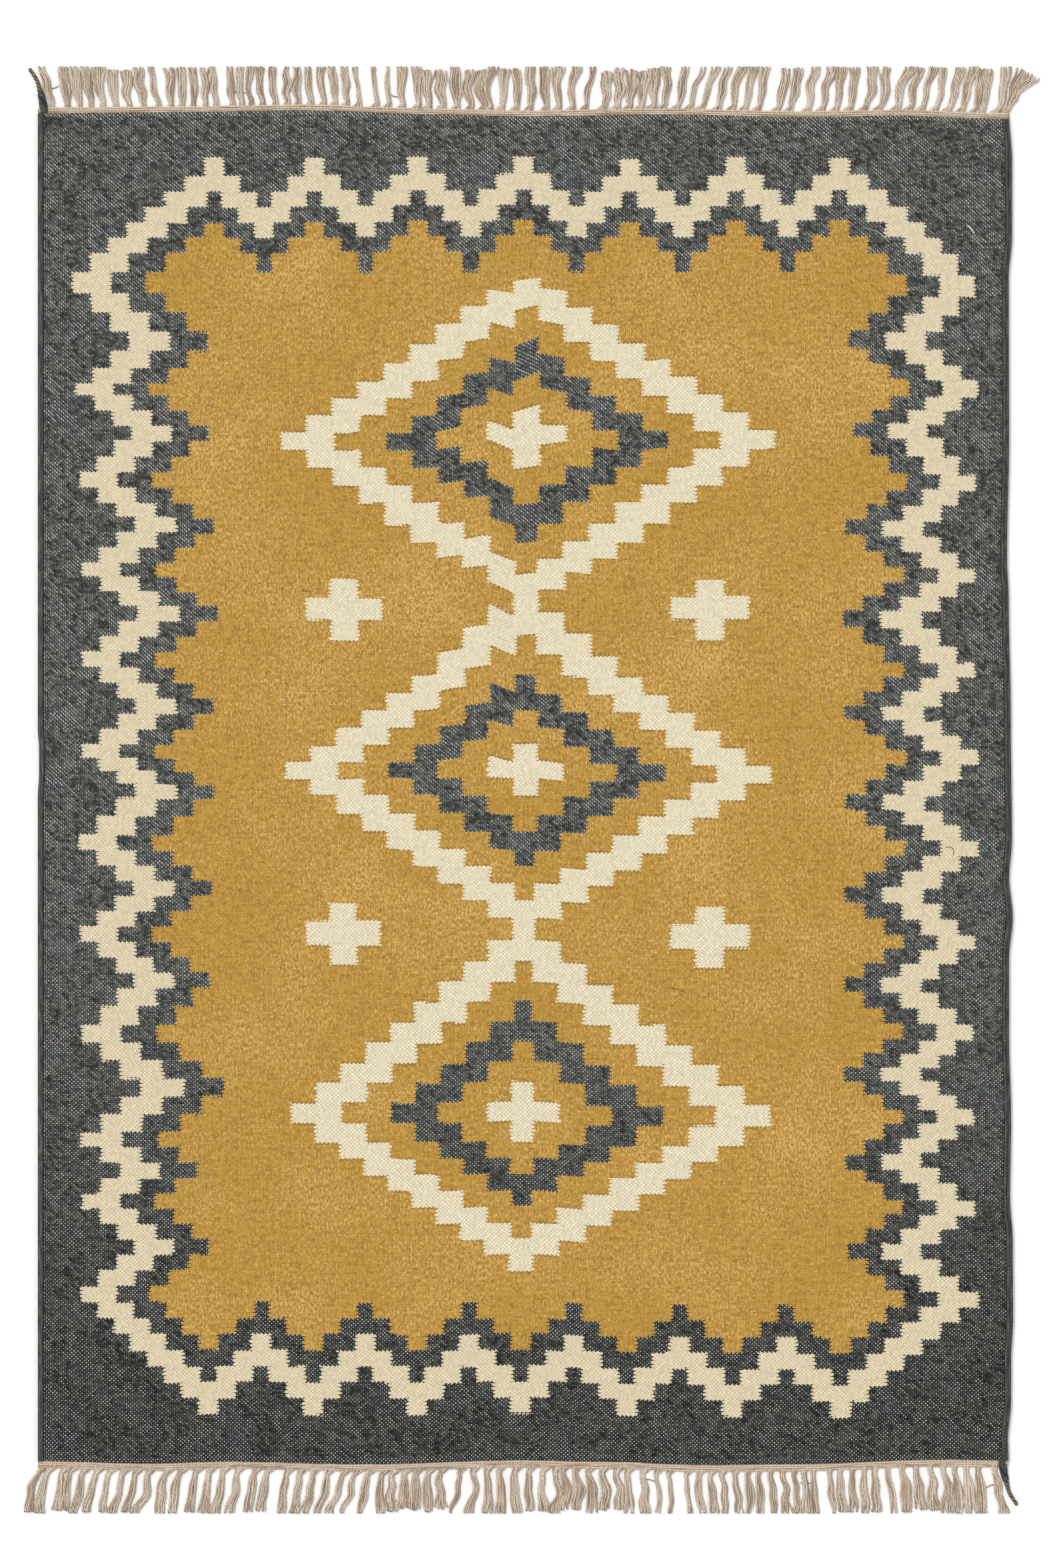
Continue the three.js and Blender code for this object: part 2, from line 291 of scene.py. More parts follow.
# How far the weft lines as a whole rise over level ones, by distance down and at seven warps
RISE_ACROSS = {"a": 0, "b": 260, "c": 500, "d": 600, "e": 700, "f": 900, "g": 1200}
RISE = table(
    "down a b c d e f g",
    (0, -1.5, -3, -2.5, -3, -4, -2, -2),
    (100, -0.5, 0, 1.5, 2.5, -2, 0, -2),
    (200, 1, 0.5, 2, 2, 3, 3.5, -1),
    (400, 2, 1, 0.5, 0, 2, 2.5, -2.5),
    (600, 2, -0.5, 0.5, 1.5, 1, 2, -1),
    (850, 1.5, -1, 2.5, 3, 1.5, 1.5, 2),
    (1000, 2.5, 2.5, 4, 4, 0, 1, 1),
    (1150, 1.5, 3, 3.5, 7, 2, 4, -1),
    (1300, 2, 1, 4, 6.5, 1, 3, -1),
    (1480, 2, 3, 3, 5.5, 1.5, 2, 1),
    (1662, 2, 4.5, 5, 7.5, 6, 4, 1.5),
)

# Groups of fringe locks whose tips lie together, from the left: first root, how many and how far
# apart, lean of the middle and the tips, width there, and how ragged the tips are
LOCK_RUNS = table(
    "first locks pitch middle tip width spread ragged",
    (17.4, 1, 0, -6.3, -12.3, 9.5, 11, 0),
    (36.5, 3, 15, -4, -7, 11, 14.5, 0),
    (81.5, 4, 16.4, -6, -6, 12, 16.4, 4),
    (148.4, 1, 0, -5.4, -9, 7, 9, 0),
    (164.5, 4, 14.4, -1, -3, 10, 11.5, 1),
    (220.2, 1, 0, -3, -6, 7, 9, 0),
    (240, 3, 12.3, -3, -4, 7.5, 10, 0),
    (279.5, 2, 15, -5.5, -5.5, 9, 10.5, 0),
    (308, 2, 13, -3, -1, 9.5, 10, 0),
    (337.6, 2, 16.9, -4, -6, 8, 9, 0),
    (368.7, 2, 14.5, -3, -6, 10, 12.5, 0),
    (397.6, 1, 0, -3, -5, 5.5, 7, 0),
    (419.3, 2, 15, -3.5, -4.5, 5.5, 6, 0),
    (452.1, 2, 19.6, -3, -4, 9, 13, 0),
    (485.4, 5, 16.6, -6, -4, 11.5, 15.6, 4),
    (561.3, 1, 0, -6, -1, 8, 12.5, 0),
    (574.9, 3, 16.4, 0, -1, 9.5, 15, 2.5),
    (628.2, 2, 16.3, -3, -3, 9.5, 14, 0),
    (662.3, 1, 0, -4, 2, 9, 12, 0),
    (678.7, 1, 0, 0, 9, 8, 7, 0),
    (700.5, 5, 15, 1, 1, 10.5, 15.4, 5),
    (774.2, 1, 0, 2, 1.5, 10, 12.5, 0),
    (790.6, 1, 0, 4, 10.5, 11, 12, 0),
    (806.1, 1, 0, 5, 15, 7, 8, 0),
    (820, 1, 0, 7, 17, 7, 12, 0),
    (840.4, 1, 0, 4, 11, 9, 8.5, 0),
    (859.5, 3, 15.7, 3, 7.5, 9.5, 13, 0),
    (914.1, 2, 15, 4, 9.5, 10, 13, 3),
    (950.9, 2, 19, 3, 10, 9.5, 13, 0),
    (987.8, 2, 16.4, 2, 5, 10, 14, 1),
    (1021.9, 2, 16.4, 7, 8, 10, 14, 0),
    (1061.5, 1, 0, 1.5, 15.5, 9, 14, 0),
    (1077.9, 3, 16.3, 4, 10, 8, 11, 1),
    (1125.6, 2, 15, 5, 14, 9, 15, 1),
    (1157, 2, 9.8, 5, 6, 8, 12, 3),
    (1185.7, 1, 0, 8, 9.6, 10, 13, 0),
)
# The last lock at the top and the one at the bottom
LAST_LOCKS = table(
    "root middle tip width spread short slope",
    (1196.6, 1205, 1221, 12, 26, 1, 13), (1195, 1206, 1209, 9, 11, 1, 0),
)
LEAN_WOBBLE = 1
WIDTH_WOBBLE = 0.12
# How far each lock's strands are combed apart over its width in the tables
COMBED = {"middle": 1.12, "tip": 1.0}

# Brown threads that bridge two locks: from and to, across and outward from the cloth's end
BRIDGING_THREADS = table(
    "from_across from_out to_across to_out",
    (15, 30.6, 26, 34), (242, 25, 256, 23.5), (436, 22.5, 450, 21.5),
)
THREAD_THICKNESS = 1.1
THREAD_SAG = 1.2
THREAD_HEIGHTS = {"ends": 2.6, "middle": 1.2}
# Tubes of a fringe from this number on are brown
BROWN_FROM = 2000

# Cord end past a corner of the cloth: place across and outward, width and height
CORD_END = table(
    "across out width height",
    (8.3, 0.5, 6.5, 6.3),
    (8, 4, 7.5, 6.5),
    (6.7, 9, 11.5, 6.5),
    (6, 16, 11, 6.3),
    (4, 23, 8, 5.4),
    (1.8, 31, 5.6, 4.4),
    (0, 38.5, 5, 4.2),
    (-3.4, 45, 5, 4),
    (-7.5, 51, 4.6, 3.8),
    (-11, 56, 4.2, 3.4),
)
CORD_STATIONS = 90
CORD_SMOOTHING = 13
CORD_FILL = {"width": 0.96, "height": 0.9}
CORD_TWIST_LENGTH = {"bulb": 60, "tail": 11}
TAIL_START = {"from": 18, "over": 12}

# Stray fibres and slubs on the cloth: both ends, across and down, bow, thickness, pale ones first
STRAY_FIBRES = table(
    "across down to_across to_down bow thick pale",
    (1146.5, 136, 1156, 147, 1, 1.7, 1),
    (1148, 288, 1149.5, 289.5, 0, 1.6, 1),
    (1171, 1541, 1173, 1542, 0, 1.6, 1),
    (1017, 139, 1054, 161, 5, 0.5, 1),
    (820, 443, 851, 451, 2, 0.9, 1),
    (131, 1435, 134, 1439, 0.5, 0.9, 1),
    (774, 1077, 804, 1086, 3, 0.5, 0),
    (1119, 904, 1130, 914, 6, 0.7, 0),
    (170, 743, 189, 743.5, 0.4, 0.7, 0),
    (325, 587, 334, 588, 0.5, 0.8, 0),
)
FIBRE_STATIONS = 16

# Colours in sRGB from 0 to 255
# The deepest charcoal is the wool's own darkest tone and the seam, and also painted shade in ply
# grooves and at weft grain edges
CHARCOAL_DEEP = (34, 36, 35)
CHARCOAL = (108, 109, 105)
CHARCOAL_BLUE = (60, 68, 75)
CHARCOAL_FLECK = (200, 198, 187)
CREAM = (236, 225, 194)
# Flecks in the cream: the warp showing, deepened by painted shade in the pits between threads
CREAM_FLECK_AND_SHADE = (166, 151, 124)
CREAM_BORDER = (228, 214, 181)
MUSTARD = (204, 158, 68)
MUSTARD_LIGHT = (226, 190, 124)
MUSTARD_DARK = (142, 101, 40)
JUTE_LIGHT = (234, 222, 204)
JUTE = (210, 192, 169)
JUTE_BROWN = (160, 126, 94)
JUTE_SHADE = (154, 130, 106)
BINDING = (58, 60, 57)
BINDING_LIGHT = (98, 100, 95)
TAIL_BROWN = (98, 82, 67)
TAIL_LIGHT = (172, 150, 126)
FIBRE_PALE = (214, 206, 190)
FIBRE_WHITE = (240, 236, 226)
FIBRE_DARK = (60, 52, 44)
FIBRE_BROWN = (104, 84, 62)
FLOOR = (248, 248, 248)
FLOOR_LIGHT = (252, 252, 252)

# Unevenness of the wools: how fast each noise changes along warps and picks, and its detail
NOISES = table(
    "name warp pick seed scale detail",
    ("streak", 1.0, 0.06, 0.0, 0.8, 2.0),
    ("strand", 0.1, 1.0, 0.0, 0.8, 3.0),
    ("patch", 1.0, 1.0, 0.0, 0.05, 5.0),
    ("mottle", 1.0, 1.0, 0.0, 0.3, 3.0),
    ("cloud", 1.0, 1.0, 0.0, 0.018, 3.0),
    ("scratch", 1.1, 0.5, 0.0, 1.0, 3.0),
    ("drift", 0.2, 0.16, 6.0, 1.0, 4.0),
)
# How light the wools are: a base, and what each part of the weave adds to it. The shares of the grain
# and of the dips between the warps are painted shade on the weave's relief
DARK_LIGHTNESS = {"base": -0.45, "grain": 0.35, "weft_chance": 0.45, "streak": 0.7}
PALE_LIGHTNESS = {
    "base": 0.64, "grain": 0.08, "strand": 0.16, "mottle": 0.16, "weft_chance": 0.16,
    "valley": -0.06,
}
GOLD_LIGHTNESS = {
    "base": 0.5, "grain": 0.06, "streak": 0.4, "strand": 0.1, "mottle": 0.12, "valley": -0.12,
}
# How many warp flecks show in the charcoal: on average, and how chance and noise change it
FLECKS_SHOWN = 0.38
FLECK_CHANGES = {"run": 0.6, "drift": 1.4, "patch": 1.2, "chance": 0.6}
RUN_OF_FLECKS = 3
# Picks between which the flecks grow shorter and more, and the charcoal grows darker
FLECKS_LOWERED = (300.0, 560.0)
CHARCOAL_DARKENS = (430.0, 690.0)

# Where the picture looks from, and its scale
PICTURE_WIDTH = 1568
PICTURE_HEIGHT = 2352
PIXEL = 0.823
VIEW_CENTRE = {"across": 598.4, "up": 5.4}
CAMERA_HEIGHT = 7.0
SENSOR = 36.0
FLOOR_REACH = 40
SKY_STRENGTH = 0.72
LAMP_ENERGY = 1.6
LAMP_SPREAD = math.radians(25)
LAMP_FROM = (-0.7, 0.75, 1.3)


def column_of(rows, name):
    return np.array([row[name] for row in rows], float)


def read(rows, name, place, along="row"):
    """A column of a table at places along another of its columns."""
    return np.interp(place, column_of(rows, along), column_of(rows, name))


def joined(*values):
    """Arrays or numbers side by side along a new last axis."""
    return np.stack(np.broadcast_arrays(*values), axis=-1)


def eased(share):
    """Smooth step from 0 to 1."""
    share = np.clip(share, 0, 1)
    return share * share * (3 - 2 * share)


def offset_at(edge, distance):
    """Offset of an uneven edge at distances along it, eased between the table's rows."""
    at = column_of(edge, "at")
    offset = column_of(edge, "offset")
    after = np.clip(np.searchsorted(at, distance), 1, len(at) - 1)
    share = eased((distance - at[after - 1]) / (at[after] - at[after - 1]))
    return offset[after - 1] + share * (offset[after] - offset[after - 1])


def left_x(y):
    return LEFT + offset_at(LEFT_EDGE, TOP - y)


def right_x(y):
    return RIGHT + offset_at(RIGHT_EDGE, TOP - y)


def top_y(x):
    return TOP + offset_at(TOP_EDGE, x - LEFT)


def bottom_y(x):
    return BOTTOM - offset_at(BOTTOM_EDGE, x - LEFT)


def frame_shift():
    """Where the body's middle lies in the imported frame, in metres, read from the ground's box."""
    low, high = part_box("woven_ground")
    most_up = max(row["offset"] for row in TOP_EDGE)
    middle_x = low[0] - (LEFT + SELVEDGE_WIDTH_LEFT + PIECE_GAP) * MILLIMETRE
    middle_y = high[1] - (TOP + most_up) * MILLIMETRE
    return np.array([middle_x, middle_y, 0])


SHIFT = frame_shift()


def in_scene(name, data):
    """An object of the scene for a mesh, a lamp or a lens."""
    thing = bpy.data.objects.new(name, data)
    bpy.context.scene.collection.objects.link(thing)
    return thing


def piece_from(name, points, faces, maps, material):
    """A smooth mesh piece from points in millimetres, and UV maps with a pair for each corner."""
    mesh = bpy.data.meshes.new(name)
    mesh.from_pydata((points * MILLIMETRE + SHIFT).tolist(), [], faces)
    for map_name, corners in maps.items():
        layer = mesh.uv_layers.new(name=map_name)
        layer.uv.foreach_set("vector", np.ascontiguousarray(corners, np.float32).ravel())
    mesh.polygons.foreach_set("use_smooth", np.ones(len(mesh.polygons), bool))
    mesh.materials.append(material)
    mesh.update()
    return in_scene(name, mesh)


class Tubes:
    """Closed tubes gathered into one mesh, each mapped by its number, its girth and its length."""

    def __init__(self):
        self.points = []
        self.faces = []
        self.corners = []
        self.count = 0
        self.tubes = 0

    def add(self, centres, width, height, turn, sides, lobes=0.0, lean=0.0, fullness=1.0):
        """Add tubes along centres[tube, station], their values single or for each station.

        A fullness below 1 makes the rings squarer.
        """
        centres = centres.reshape(-1, *centres.shape[-2:])
        tubes, stations, _ = centres.shape
        width, height, turn = (
            np.broadcast_to(values, (tubes, stations))[..., None] for values in (width, height, turn)
        )
        ahead = np.gradient(centres, axis=1)
        ahead /= np.linalg.norm(ahead, axis=2, keepdims=True)
        beside = np.cross(ahead, [0, 0, 1])
        beside /= np.linalg.norm(beside, axis=2, keepdims=True)
        above = np.cross(beside, ahead)
        ring = 2 * math.pi * np.arange(sides) / sides
        swell = 1 + lobes * np.cos(2 * ring)
        fuller = lambda values: np.sign(values) * np.abs(values) ** fullness
        across = (width / 2 * swell * fuller(np.cos(turn + ring)))[..., None]
        upward = (height / 2 * swell * fuller(np.sin(turn + ring)))[..., None]
        points = centres[:, :, None] + beside[:, :, None] * across + above[:, :, None] * upward
        points += ahead[:, :, None] * (lean * across)
        length = np.cumsum(np.linalg.norm(np.diff(centres, axis=1), axis=2), axis=1)
        length = np.concatenate([np.zeros((tubes, 1)), length], axis=1)
        self.join(points.reshape(-1, 3), length, tubes, stations, sides)

    def join(self, points, length, tubes, stations, sides):
        """Join rings to quads and close the ends."""
        tube = np.arange(tubes)[:, None, None]
        station = np.arange(stations - 1)[:, None]
        side = np.arange(sides)
        quads = []
        corners = []
        for ahead, aside in ((0, 0), (1, 0), (1, 1), (0, 1)):
            ring = tube * stations + station + ahead
            quads.append(self.count + ring * sides + (side + aside) % sides)
            reach = length[:, ahead:stations - 1 + ahead, None]
            corners.append(joined(self.tubes + tube + (side + aside) / sides, reach))
        first = np.arange(tubes)[:, None] * stations * sides + side + self.count
        last = first + (stations - 1) * sides
        ends = np.concatenate([first, last[:, ::-1]])
        middles = np.tile(np.arange(tubes) + self.tubes + 0.5, 2)
        reached = np.concatenate([length[:, 0], length[:, -1]])
        self.points.append(points)
        self.faces += joined(*quads).reshape(-1, 4).tolist() + ends.tolist()
        self.corners.append(np.stack(corners, axis=-2).reshape(-1, 2))
        self.corners.append(np.repeat(joined(middles, reached), sides, axis=0))
        self.count += len(points)
        self.tubes += tubes

    def piece(self, name, material):
        maps = {"yarn": np.concatenate(self.corners)}
        return piece_from(name, np.concatenate(self.points), self.faces, maps, material)


def carried_on(value, stops, results):
    """Piecewise linear from stops to results, carried on past both ends."""
    result = None
    for k in range(len(stops) - 1):
        slope = (results[k + 1] - results[k]) / (stops[k + 1] - stops[k])
        line = results[k] + (value - stops[k]) * slope
        result = line if result is None else np.where(value > stops[k], line, result)
    return result


def row_numbers(rows, down, share, left_rows):
    """Row number at distances down, from the left lines of one table to the right lines of another."""
    left = carried_on(down, column_of(left_rows, "left"), column_of(left_rows, "row"))
    left = np.clip(left, left_rows[0]["row"] + ROW_MARGIN, left_rows[-1]["row"] - ROW_MARGIN)
    right = carried_on(down, column_of(rows, "right"), column_of(rows, "row"))
    return left + share * (right - left)


def pucker(down, across):
    """How far the weft is drawn up, in millimetres."""
    stops = list(PUCKER_ACROSS.values())
    nothing = np.zeros_like(down)
    drawn = [read(PUCKER, name, down, "down") for name in "abcd"]
    return carried_on(np.clip(across, stops[0], stops[-1]), stops, [nothing, *drawn, nothing])


def rise(down, across):
    """How far the weft lines lie above level ones, in millimetres, smooth across."""
    at = list(RISE_ACROSS.values())
    levels = [read(RISE, name, down, "down") for name in RISE_ACROSS]
    result = np.zeros_like(down)
    for k in range(len(at) - 1):
        share = eased((across - at[k]) / (at[k + 1] - at[k]))
        within_step = (across >= at[k]) & ((across < at[k + 1]) | (k == len(at) - 2))
        result = np.where(within_step, levels[k] + share * (levels[k + 1] - levels[k]), result)
    return result


def border_map(down, across, left_rows):
    """Column and row of the stepped border."""
    share = np.clip((across - BLEND_FROM) / (BLEND_TO - BLEND_FROM), 0, 1)
    row = row_numbers(BORDER_ROWS, down, share, left_rows)
    stops = {}
    for side in ("left", "right"):
        outer = read(BORDER_OUTER, side, row)
        inner = read(BORDER_INNER, side, row)
        stops[side] = [outer, (outer + inner) / 2 + read(BORDER_SIDE_SHIFT, side, row), inner]
    lowered = np.clip(row / (BORDER_LAST_ROW + 1), 0, 1)
    tips = [tip["top"] + lowered * (tip["bottom"] - tip["top"]) for tip in BORDER_TIPS]
    middle = (BORDER_INNER_COLUMN + BORDER_HALF_COLUMNS) / 2
    outward = [BORDER_INNER_COLUMN, middle, BORDER_HALF_COLUMNS]
    inward = [-column for column in reversed(outward)]
    columns = [*inward, *column_of(BORDER_TIPS, "column"), *outward]
    across_stops = [*stops["left"], *tips, *reversed(stops["right"])]
    return joined(carried_on(across, across_stops, columns), row)


def field_map(down, across):
    """Column and row of the stepped medallions."""
    share = np.clip((across - FIELD_BLEND_FROM) / (FIELD_BLEND_TO - FIELD_BLEND_FROM), 0, 1)
    row = row_numbers(FIELD_ROWS, down, share, FIELD_ROWS)
    names = ("left", "middle_left", "middle_right", "right")
    stops = [read(FIELD_COLUMNS, name, row) for name in names]
    columns = [-FIELD_EDGE_COLUMN, -0.5, 0.5, FIELD_EDGE_COLUMN]
    return joined(carried_on(across, stops, columns), row)


def uneven(x, y):
    """A slow unevenness of the lying cloth, between -1 and 1."""
    return (
        0.4 * np.sin(x / 61 + 1.3 * np.sin(y / 97))
        + 0.35 * np.sin(y / 53 + 1.7 * np.sin(x / 83) + 1)
        + 0.25 * np.sin((x + y) / 29 + 2 * np.sin((x - y) / 71))
    )


def rim_lines(length, count):
    """Shares along a side of the cloth, with closer lines where its rim is rounded."""
    close = [step * RIM_RADIUS / length for step in RIM_STEPS]
    inner = np.linspace(0, 1, count)[1:-1]
    return np.concatenate([close, inner, [1 - share for share in reversed(close)]])


def cloth_grid():
    """Grid of the cloth between the bound edges: shares across and down, and places."""
    across_share = rim_lines(BODY_WIDTH, GROUND_COLUMNS)
    down_share = rim_lines(BODY_LENGTH, GROUND_ROWS)
    down_share[np.abs(down_share - JUMP_SHARE).argmin()] = JUMP_SHARE
    v, u = np.meshgrid(down_share, across_share, indexing="ij")
    plain_y = TOP - v * BODY_LENGTH
    inside_left = left_x(plain_y) + SELVEDGE_WIDTH_LEFT + PIECE_GAP
    inside_right = right_x(plain_y) - SELVEDGE_WIDTH_RIGHT - PIECE_GAP
    x = inside_left + u * (inside_right - inside_left)
    y = top_y(x) + v * (bottom_y(x) - top_y(x))
    return u, v, x, y


def quads_of(index):
    """Quads between the lines of a grid of point numbers."""
    corners = joined(index[:-1, :-1], index[1:, :-1], index[1:, 1:], index[:-1, 1:])
    return corners.reshape(-1, 4)


def cloth_shape(u, v, x, y):
    """Points, quads and grid places of the upper side and of the underside, which share the rim."""
    to_rim = np.minimum(np.minimum(u, 1 - u) * BODY_WIDTH, np.minimum(v, 1 - v) * BODY_LENGTH)
    bulge = np.sqrt(np.clip(1 - (1 - np.clip(to_rim / RIM_RADIUS, 0, 1)) ** 2, 0, 1))
    inner = np.clip(to_rim / RELIEF_FADE, 0, 1)
    puckered = np.abs(pucker(TOP - y, x - LEFT))
    lift = inner * (RELIEF * uneven(x, y) + PUCKER_RELIEF * puckered)
    middle = GROUND_THICKNESS / 2
    heights = [middle + (middle + lift) * bulge, middle - (middle - UNDERSIDE_HEIGHT) * bulge]
    points = np.concatenate([joined(x, y, z).reshape(-1, 3) for z in heights])
    upper = np.arange(x.size).reshape(x.shape)
    lower = np.where(to_rim <= 0, upper, upper + x.size)
    faces = np.concatenate([quads_of(upper), quads_of(lower)[:, ::-1]])
    used, faces = np.unique(faces, return_inverse=True)
    return points[used], faces.reshape(-1, 4), used % x.size


def woven_ground(material):
    """The cloth between the bound edges, mapped by its threads and by both patterns."""
    u, v, x, y = cloth_grid()
    points, faces, place = cloth_shape(u, v, x, y)
    at_corners = lambda values: values.reshape(-1, 2)[place][faces]
    across = x - LEFT
    drawn = pucker(TOP - y, across) + rise(TOP - y, across)
    down = TOP - y + drawn
    threads = joined(u * WARPS, v * PICKS + drawn * PICKS / BODY_LENGTH)
    rows_above = [row for row in BORDER_ROWS if row["row"] <= JUMP_FROM_ROW]
    rows_below = [row for row in BORDER_ROWS if row["row"] >= JUMP_TO_ROW]
    above = at_corners(border_map(down, across, rows_above))
    below = at_corners(border_map(down, across, rows_below))
    past_jump = v.ravel()[place][faces].mean(axis=1)[:, None, None] > JUMP_SHARE
    upper_side = np.arange(len(faces))[:, None] < len(faces) // 2
    start, width = (
        np.where(upper_side, BAKE_UPPER_SIDE[key], BAKE_UNDERSIDE[key]) for key in ("start", "width")
    )
    flat = at_corners(joined(u, 1 - v))
    maps = {
        "threads": at_corners(threads),
        "border": np.where(past_jump, below, above),
        "field": at_corners(field_map(down, across)),
        "OFBake": joined(start + flat[..., 0] * width, BAKE_BOTTOM + flat[..., 1] * BAKE_HEIGHT),
    }
    return piece_from("kilim_ground", points, faces.tolist(), maps, material)


# Both bound edges, and the corner and the turn of their cord ends
LEFT_SIDE = {
    "middle_x": lambda y: left_x(y) + SELVEDGE_WIDTH_LEFT / 2,
    "width": SELVEDGE_WIDTH_LEFT,
    "from": bottom_y(LEFT),
    "to": top_y(LEFT),
    "corner": (left_x(TOP), top_y(LEFT)),
    "turn": 1,
    "stitch": STITCH_LEFT,
}
RIGHT_SIDE = {
    "middle_x": lambda y: right_x(y) - SELVEDGE_WIDTH_RIGHT / 2,
    "width": SELVEDGE_WIDTH_RIGHT,
    "from": top_y(RIGHT) - PIECE_GAP,
    "to": bottom_y(RIGHT),
    "corner": (right_x(BOTTOM), bottom_y(RIGHT)),
    "turn": -1,
    "stitch": STITCH_RIGHT,
}


def wrapped_bar(tubes, side):
    """Add the thick cord along an edge, which swells between the stitches that wrap it."""
    stations = int(BODY_LENGTH / (side["stitch"] / STITCH_STATIONS))
    number = np.arange(stations)
    y = np.linspace(side["from"], side["to"], stations)
    wrap = np.abs(np.sin(math.pi * number / STITCH_STATIONS))
    uneven_width = EDGE_WIDTHS["uneven"] * np.sin(number * 0.37)
    width = side["width"] * (EDGE_WIDTHS["least"] + EDGE_WIDTHS["wrap"] * wrap + uneven_width)
    height = SELVEDGE_HEIGHT * (EDGE_HEIGHTS["least"] + EDGE_HEIGHTS["wrap"] * wrap)
    centres = joined(side["middle_x"](y), y, height / 2)
    tubes.add(centres, width, height, 0, EDGE_SIDES, lean=EDGE_LEAN, fullness=EDGE_FULLNESS)


def cord_end(tubes, side):
    """Add the cord end past a corner, a loosely twisted bulb with a tightly twisted tail."""
    share = np.linspace(0, 1, CORD_STATIONS)
    at = np.linspace(0, 1, len(CORD_END))
    window = np.ones(CORD_SMOOTHING) / CORD_SMOOTHING
    cord = {}
    for key in CORD_END[0]:
        values = np.pad(np.interp(share, at, column_of(CORD_END, key)), CORD_SMOOTHING // 2, "edge")
        cord[key] = np.convolve(values, window, "valid")
    corner_x, corner_y = side["corner"]
    x = corner_x + side["turn"] * cord["across"]
    y = corner_y + side["turn"] * cord["out"]
    centres = joined(x, y, cord["height"] / 2)
    tail = eased((cord["out"] - TAIL_START["from"]) / TAIL_START["over"])
    twist = 1 / CORD_TWIST_LENGTH["bulb"] + tail / CORD_TWIST_LENGTH["tail"]
    turns = 2 * math.pi * np.cumsum(twist * np.gradient(cord["out"]))
    width, height = (cord[key] * CORD_FILL[key] for key in ("width", "height"))
    tubes.add(centres, width, height, turns, EDGE_SIDES, lobes=YARN_LOBES)


def bound_edge(name, side, material):
    """A bound edge wrapped in wool along one side, with the cord end past its corner."""
    tubes = Tubes()
    wrapped_bar(tubes, side)
    cord_end(tubes, side)
    return tubes.piece(name, material)


def wobble(index, kind):
    """A steady unevenness between -1 and 1."""
    return math.sin(7.3 * index + 2.1 * kind)


def lay_out_locks(last_lock):
    """Every lock of an end from left to right: root, middle and tip places, width, shortness."""
    locks = []
    for run in LOCK_RUNS:
        for i in range(run["locks"]):
            index = len(locks)
            root = run["first"] + i * run["pitch"] + LEAN_WOBBLE * wobble(index, 0)
            locks.append({
                "root": root,
                "middle": root + run["middle"] + LEAN_WOBBLE * wobble(index, 1),
                "tip": root + run["tip"] + LEAN_WOBBLE * wobble(index, 2),
                "width": run["width"] * (1 + WIDTH_WOBBLE * wobble(index, 3)),
                "spread": run["spread"] * (1 + WIDTH_WOBBLE * wobble(index, 5)),
                "short": run["ragged"] * abs(wobble(index, 4)),
                "slope": 0,
            })
    return [*locks, last_lock]


def along_lock(root, middle, tip, t):
    """Ease between root, middle and tip values."""
    lower = root + (middle - root) * eased(2 * t)
    return np.where(t < 0.5, lower, middle + (tip - middle) * eased(2 * t - 1))


def wander_along(t, reach, seed):
    """A slow random wander of a lock or a strand."""
    sizes = seed.normal(0, reach, 3)
    return sum(
        size * np.sin(2 * math.pi * (turns * t + phase))
        for size, turns, phase in zip(sizes, (0.6, 1.1, 1.9), seed.random(3))
    )


def lock_strands(lock, end, seed):
    """Centre lines of one lock's strands, from inside the heading to their tips."""
    count = int(np.clip(round(lock["spread"] / STRAND_SPACING), STRANDS_LEAST, STRANDS_MOST))
    t = np.linspace(-ROOT_INSIDE / end["reach"], 1, STRAND_STATIONS)
    root_x = end["x"](lock["root"])
    root_y = end["heading_y"](root_x)
    outward = end["outward"]
    middle_line = along_lock(lock["root"], lock["middle"], lock["tip"], t)
    thick = 2 * STRAND_RADIUS
    middle_span = lock["width"] * COMBED["middle"] - thick
    span = along_lock(ROOT_SPAN, middle_span, lock["spread"] * COMBED["tip"] - thick, t)
    growth = eased((lock["root"] - FIN_GROWTH["from"]) / FIN_GROWTH["over"])
    fin = FIN_REACH * (FIN_LEAST + (1 - FIN_LEAST) * growth) * (1 - eased(t / FIN_LENGTH))
    sway = wander_along(t, LOCK_SWAY, seed)
    strands = []
    for i in range(count):
        share = i / (count - 1)
        place = share - 0.5
        wander = sway + wander_along(t, STRAND_WANDER, seed)
        flare = -fin * (FIN_STRANDS["first"] + share * (FIN_STRANDS["last"] - FIN_STRANDS["first"]))
        stray = seed.normal(0, TIP_STRAY) * eased((t - 0.75) / 0.25)
        across = middle_line + place * span + wander * eased(t / 0.25) + flare + stray
        short = lock["short"] * (1 + 2 * place * place) + lock["slope"] * share
        tip_y = end["tip_line"](end["reach"] - short)
        end_y = tip_y - outward * abs(seed.normal(0, TIP_SHORTNESS))
        y = root_y + t * (end_y - root_y)
        height = LAYER["height"] * (i % 2)
        layer = height * eased(t / LAYER["rise"]) * (1 - LAYER["sink"] * eased(t))
        ripple = STRAND_RIPPLE * np.sin(2 * math.pi * (2 * t + seed.random())) ** 2
        z = STRAND_HEIGHT * STRAND_RADIUS + layer + ripple
        strands.append(joined(end["x"](across), y, z))
    return strands


def bridging_threads(end):
    """Centre lines of the thin threads that lie across the gap between two locks."""
    share = np.linspace(0, 1, 14)
    bow = np.sin(math.pi * share)
    z = THREAD_HEIGHTS["ends"] + (THREAD_HEIGHTS["middle"] - THREAD_HEIGHTS["ends"]) * bow
    lines = []
    for thread in BRIDGING_THREADS:
        across = thread["from_across"] + share * (thread["to_across"] - thread["from_across"])
        out = thread["from_out"] + share * (thread["to_out"] - thread["from_out"])
        x = end["x"](across)
        y = end["cloth_y"](x) + end["outward"] * (out - THREAD_SAG * bow)
        lines.append(joined(x, y, z))
    return np.stack(lines)


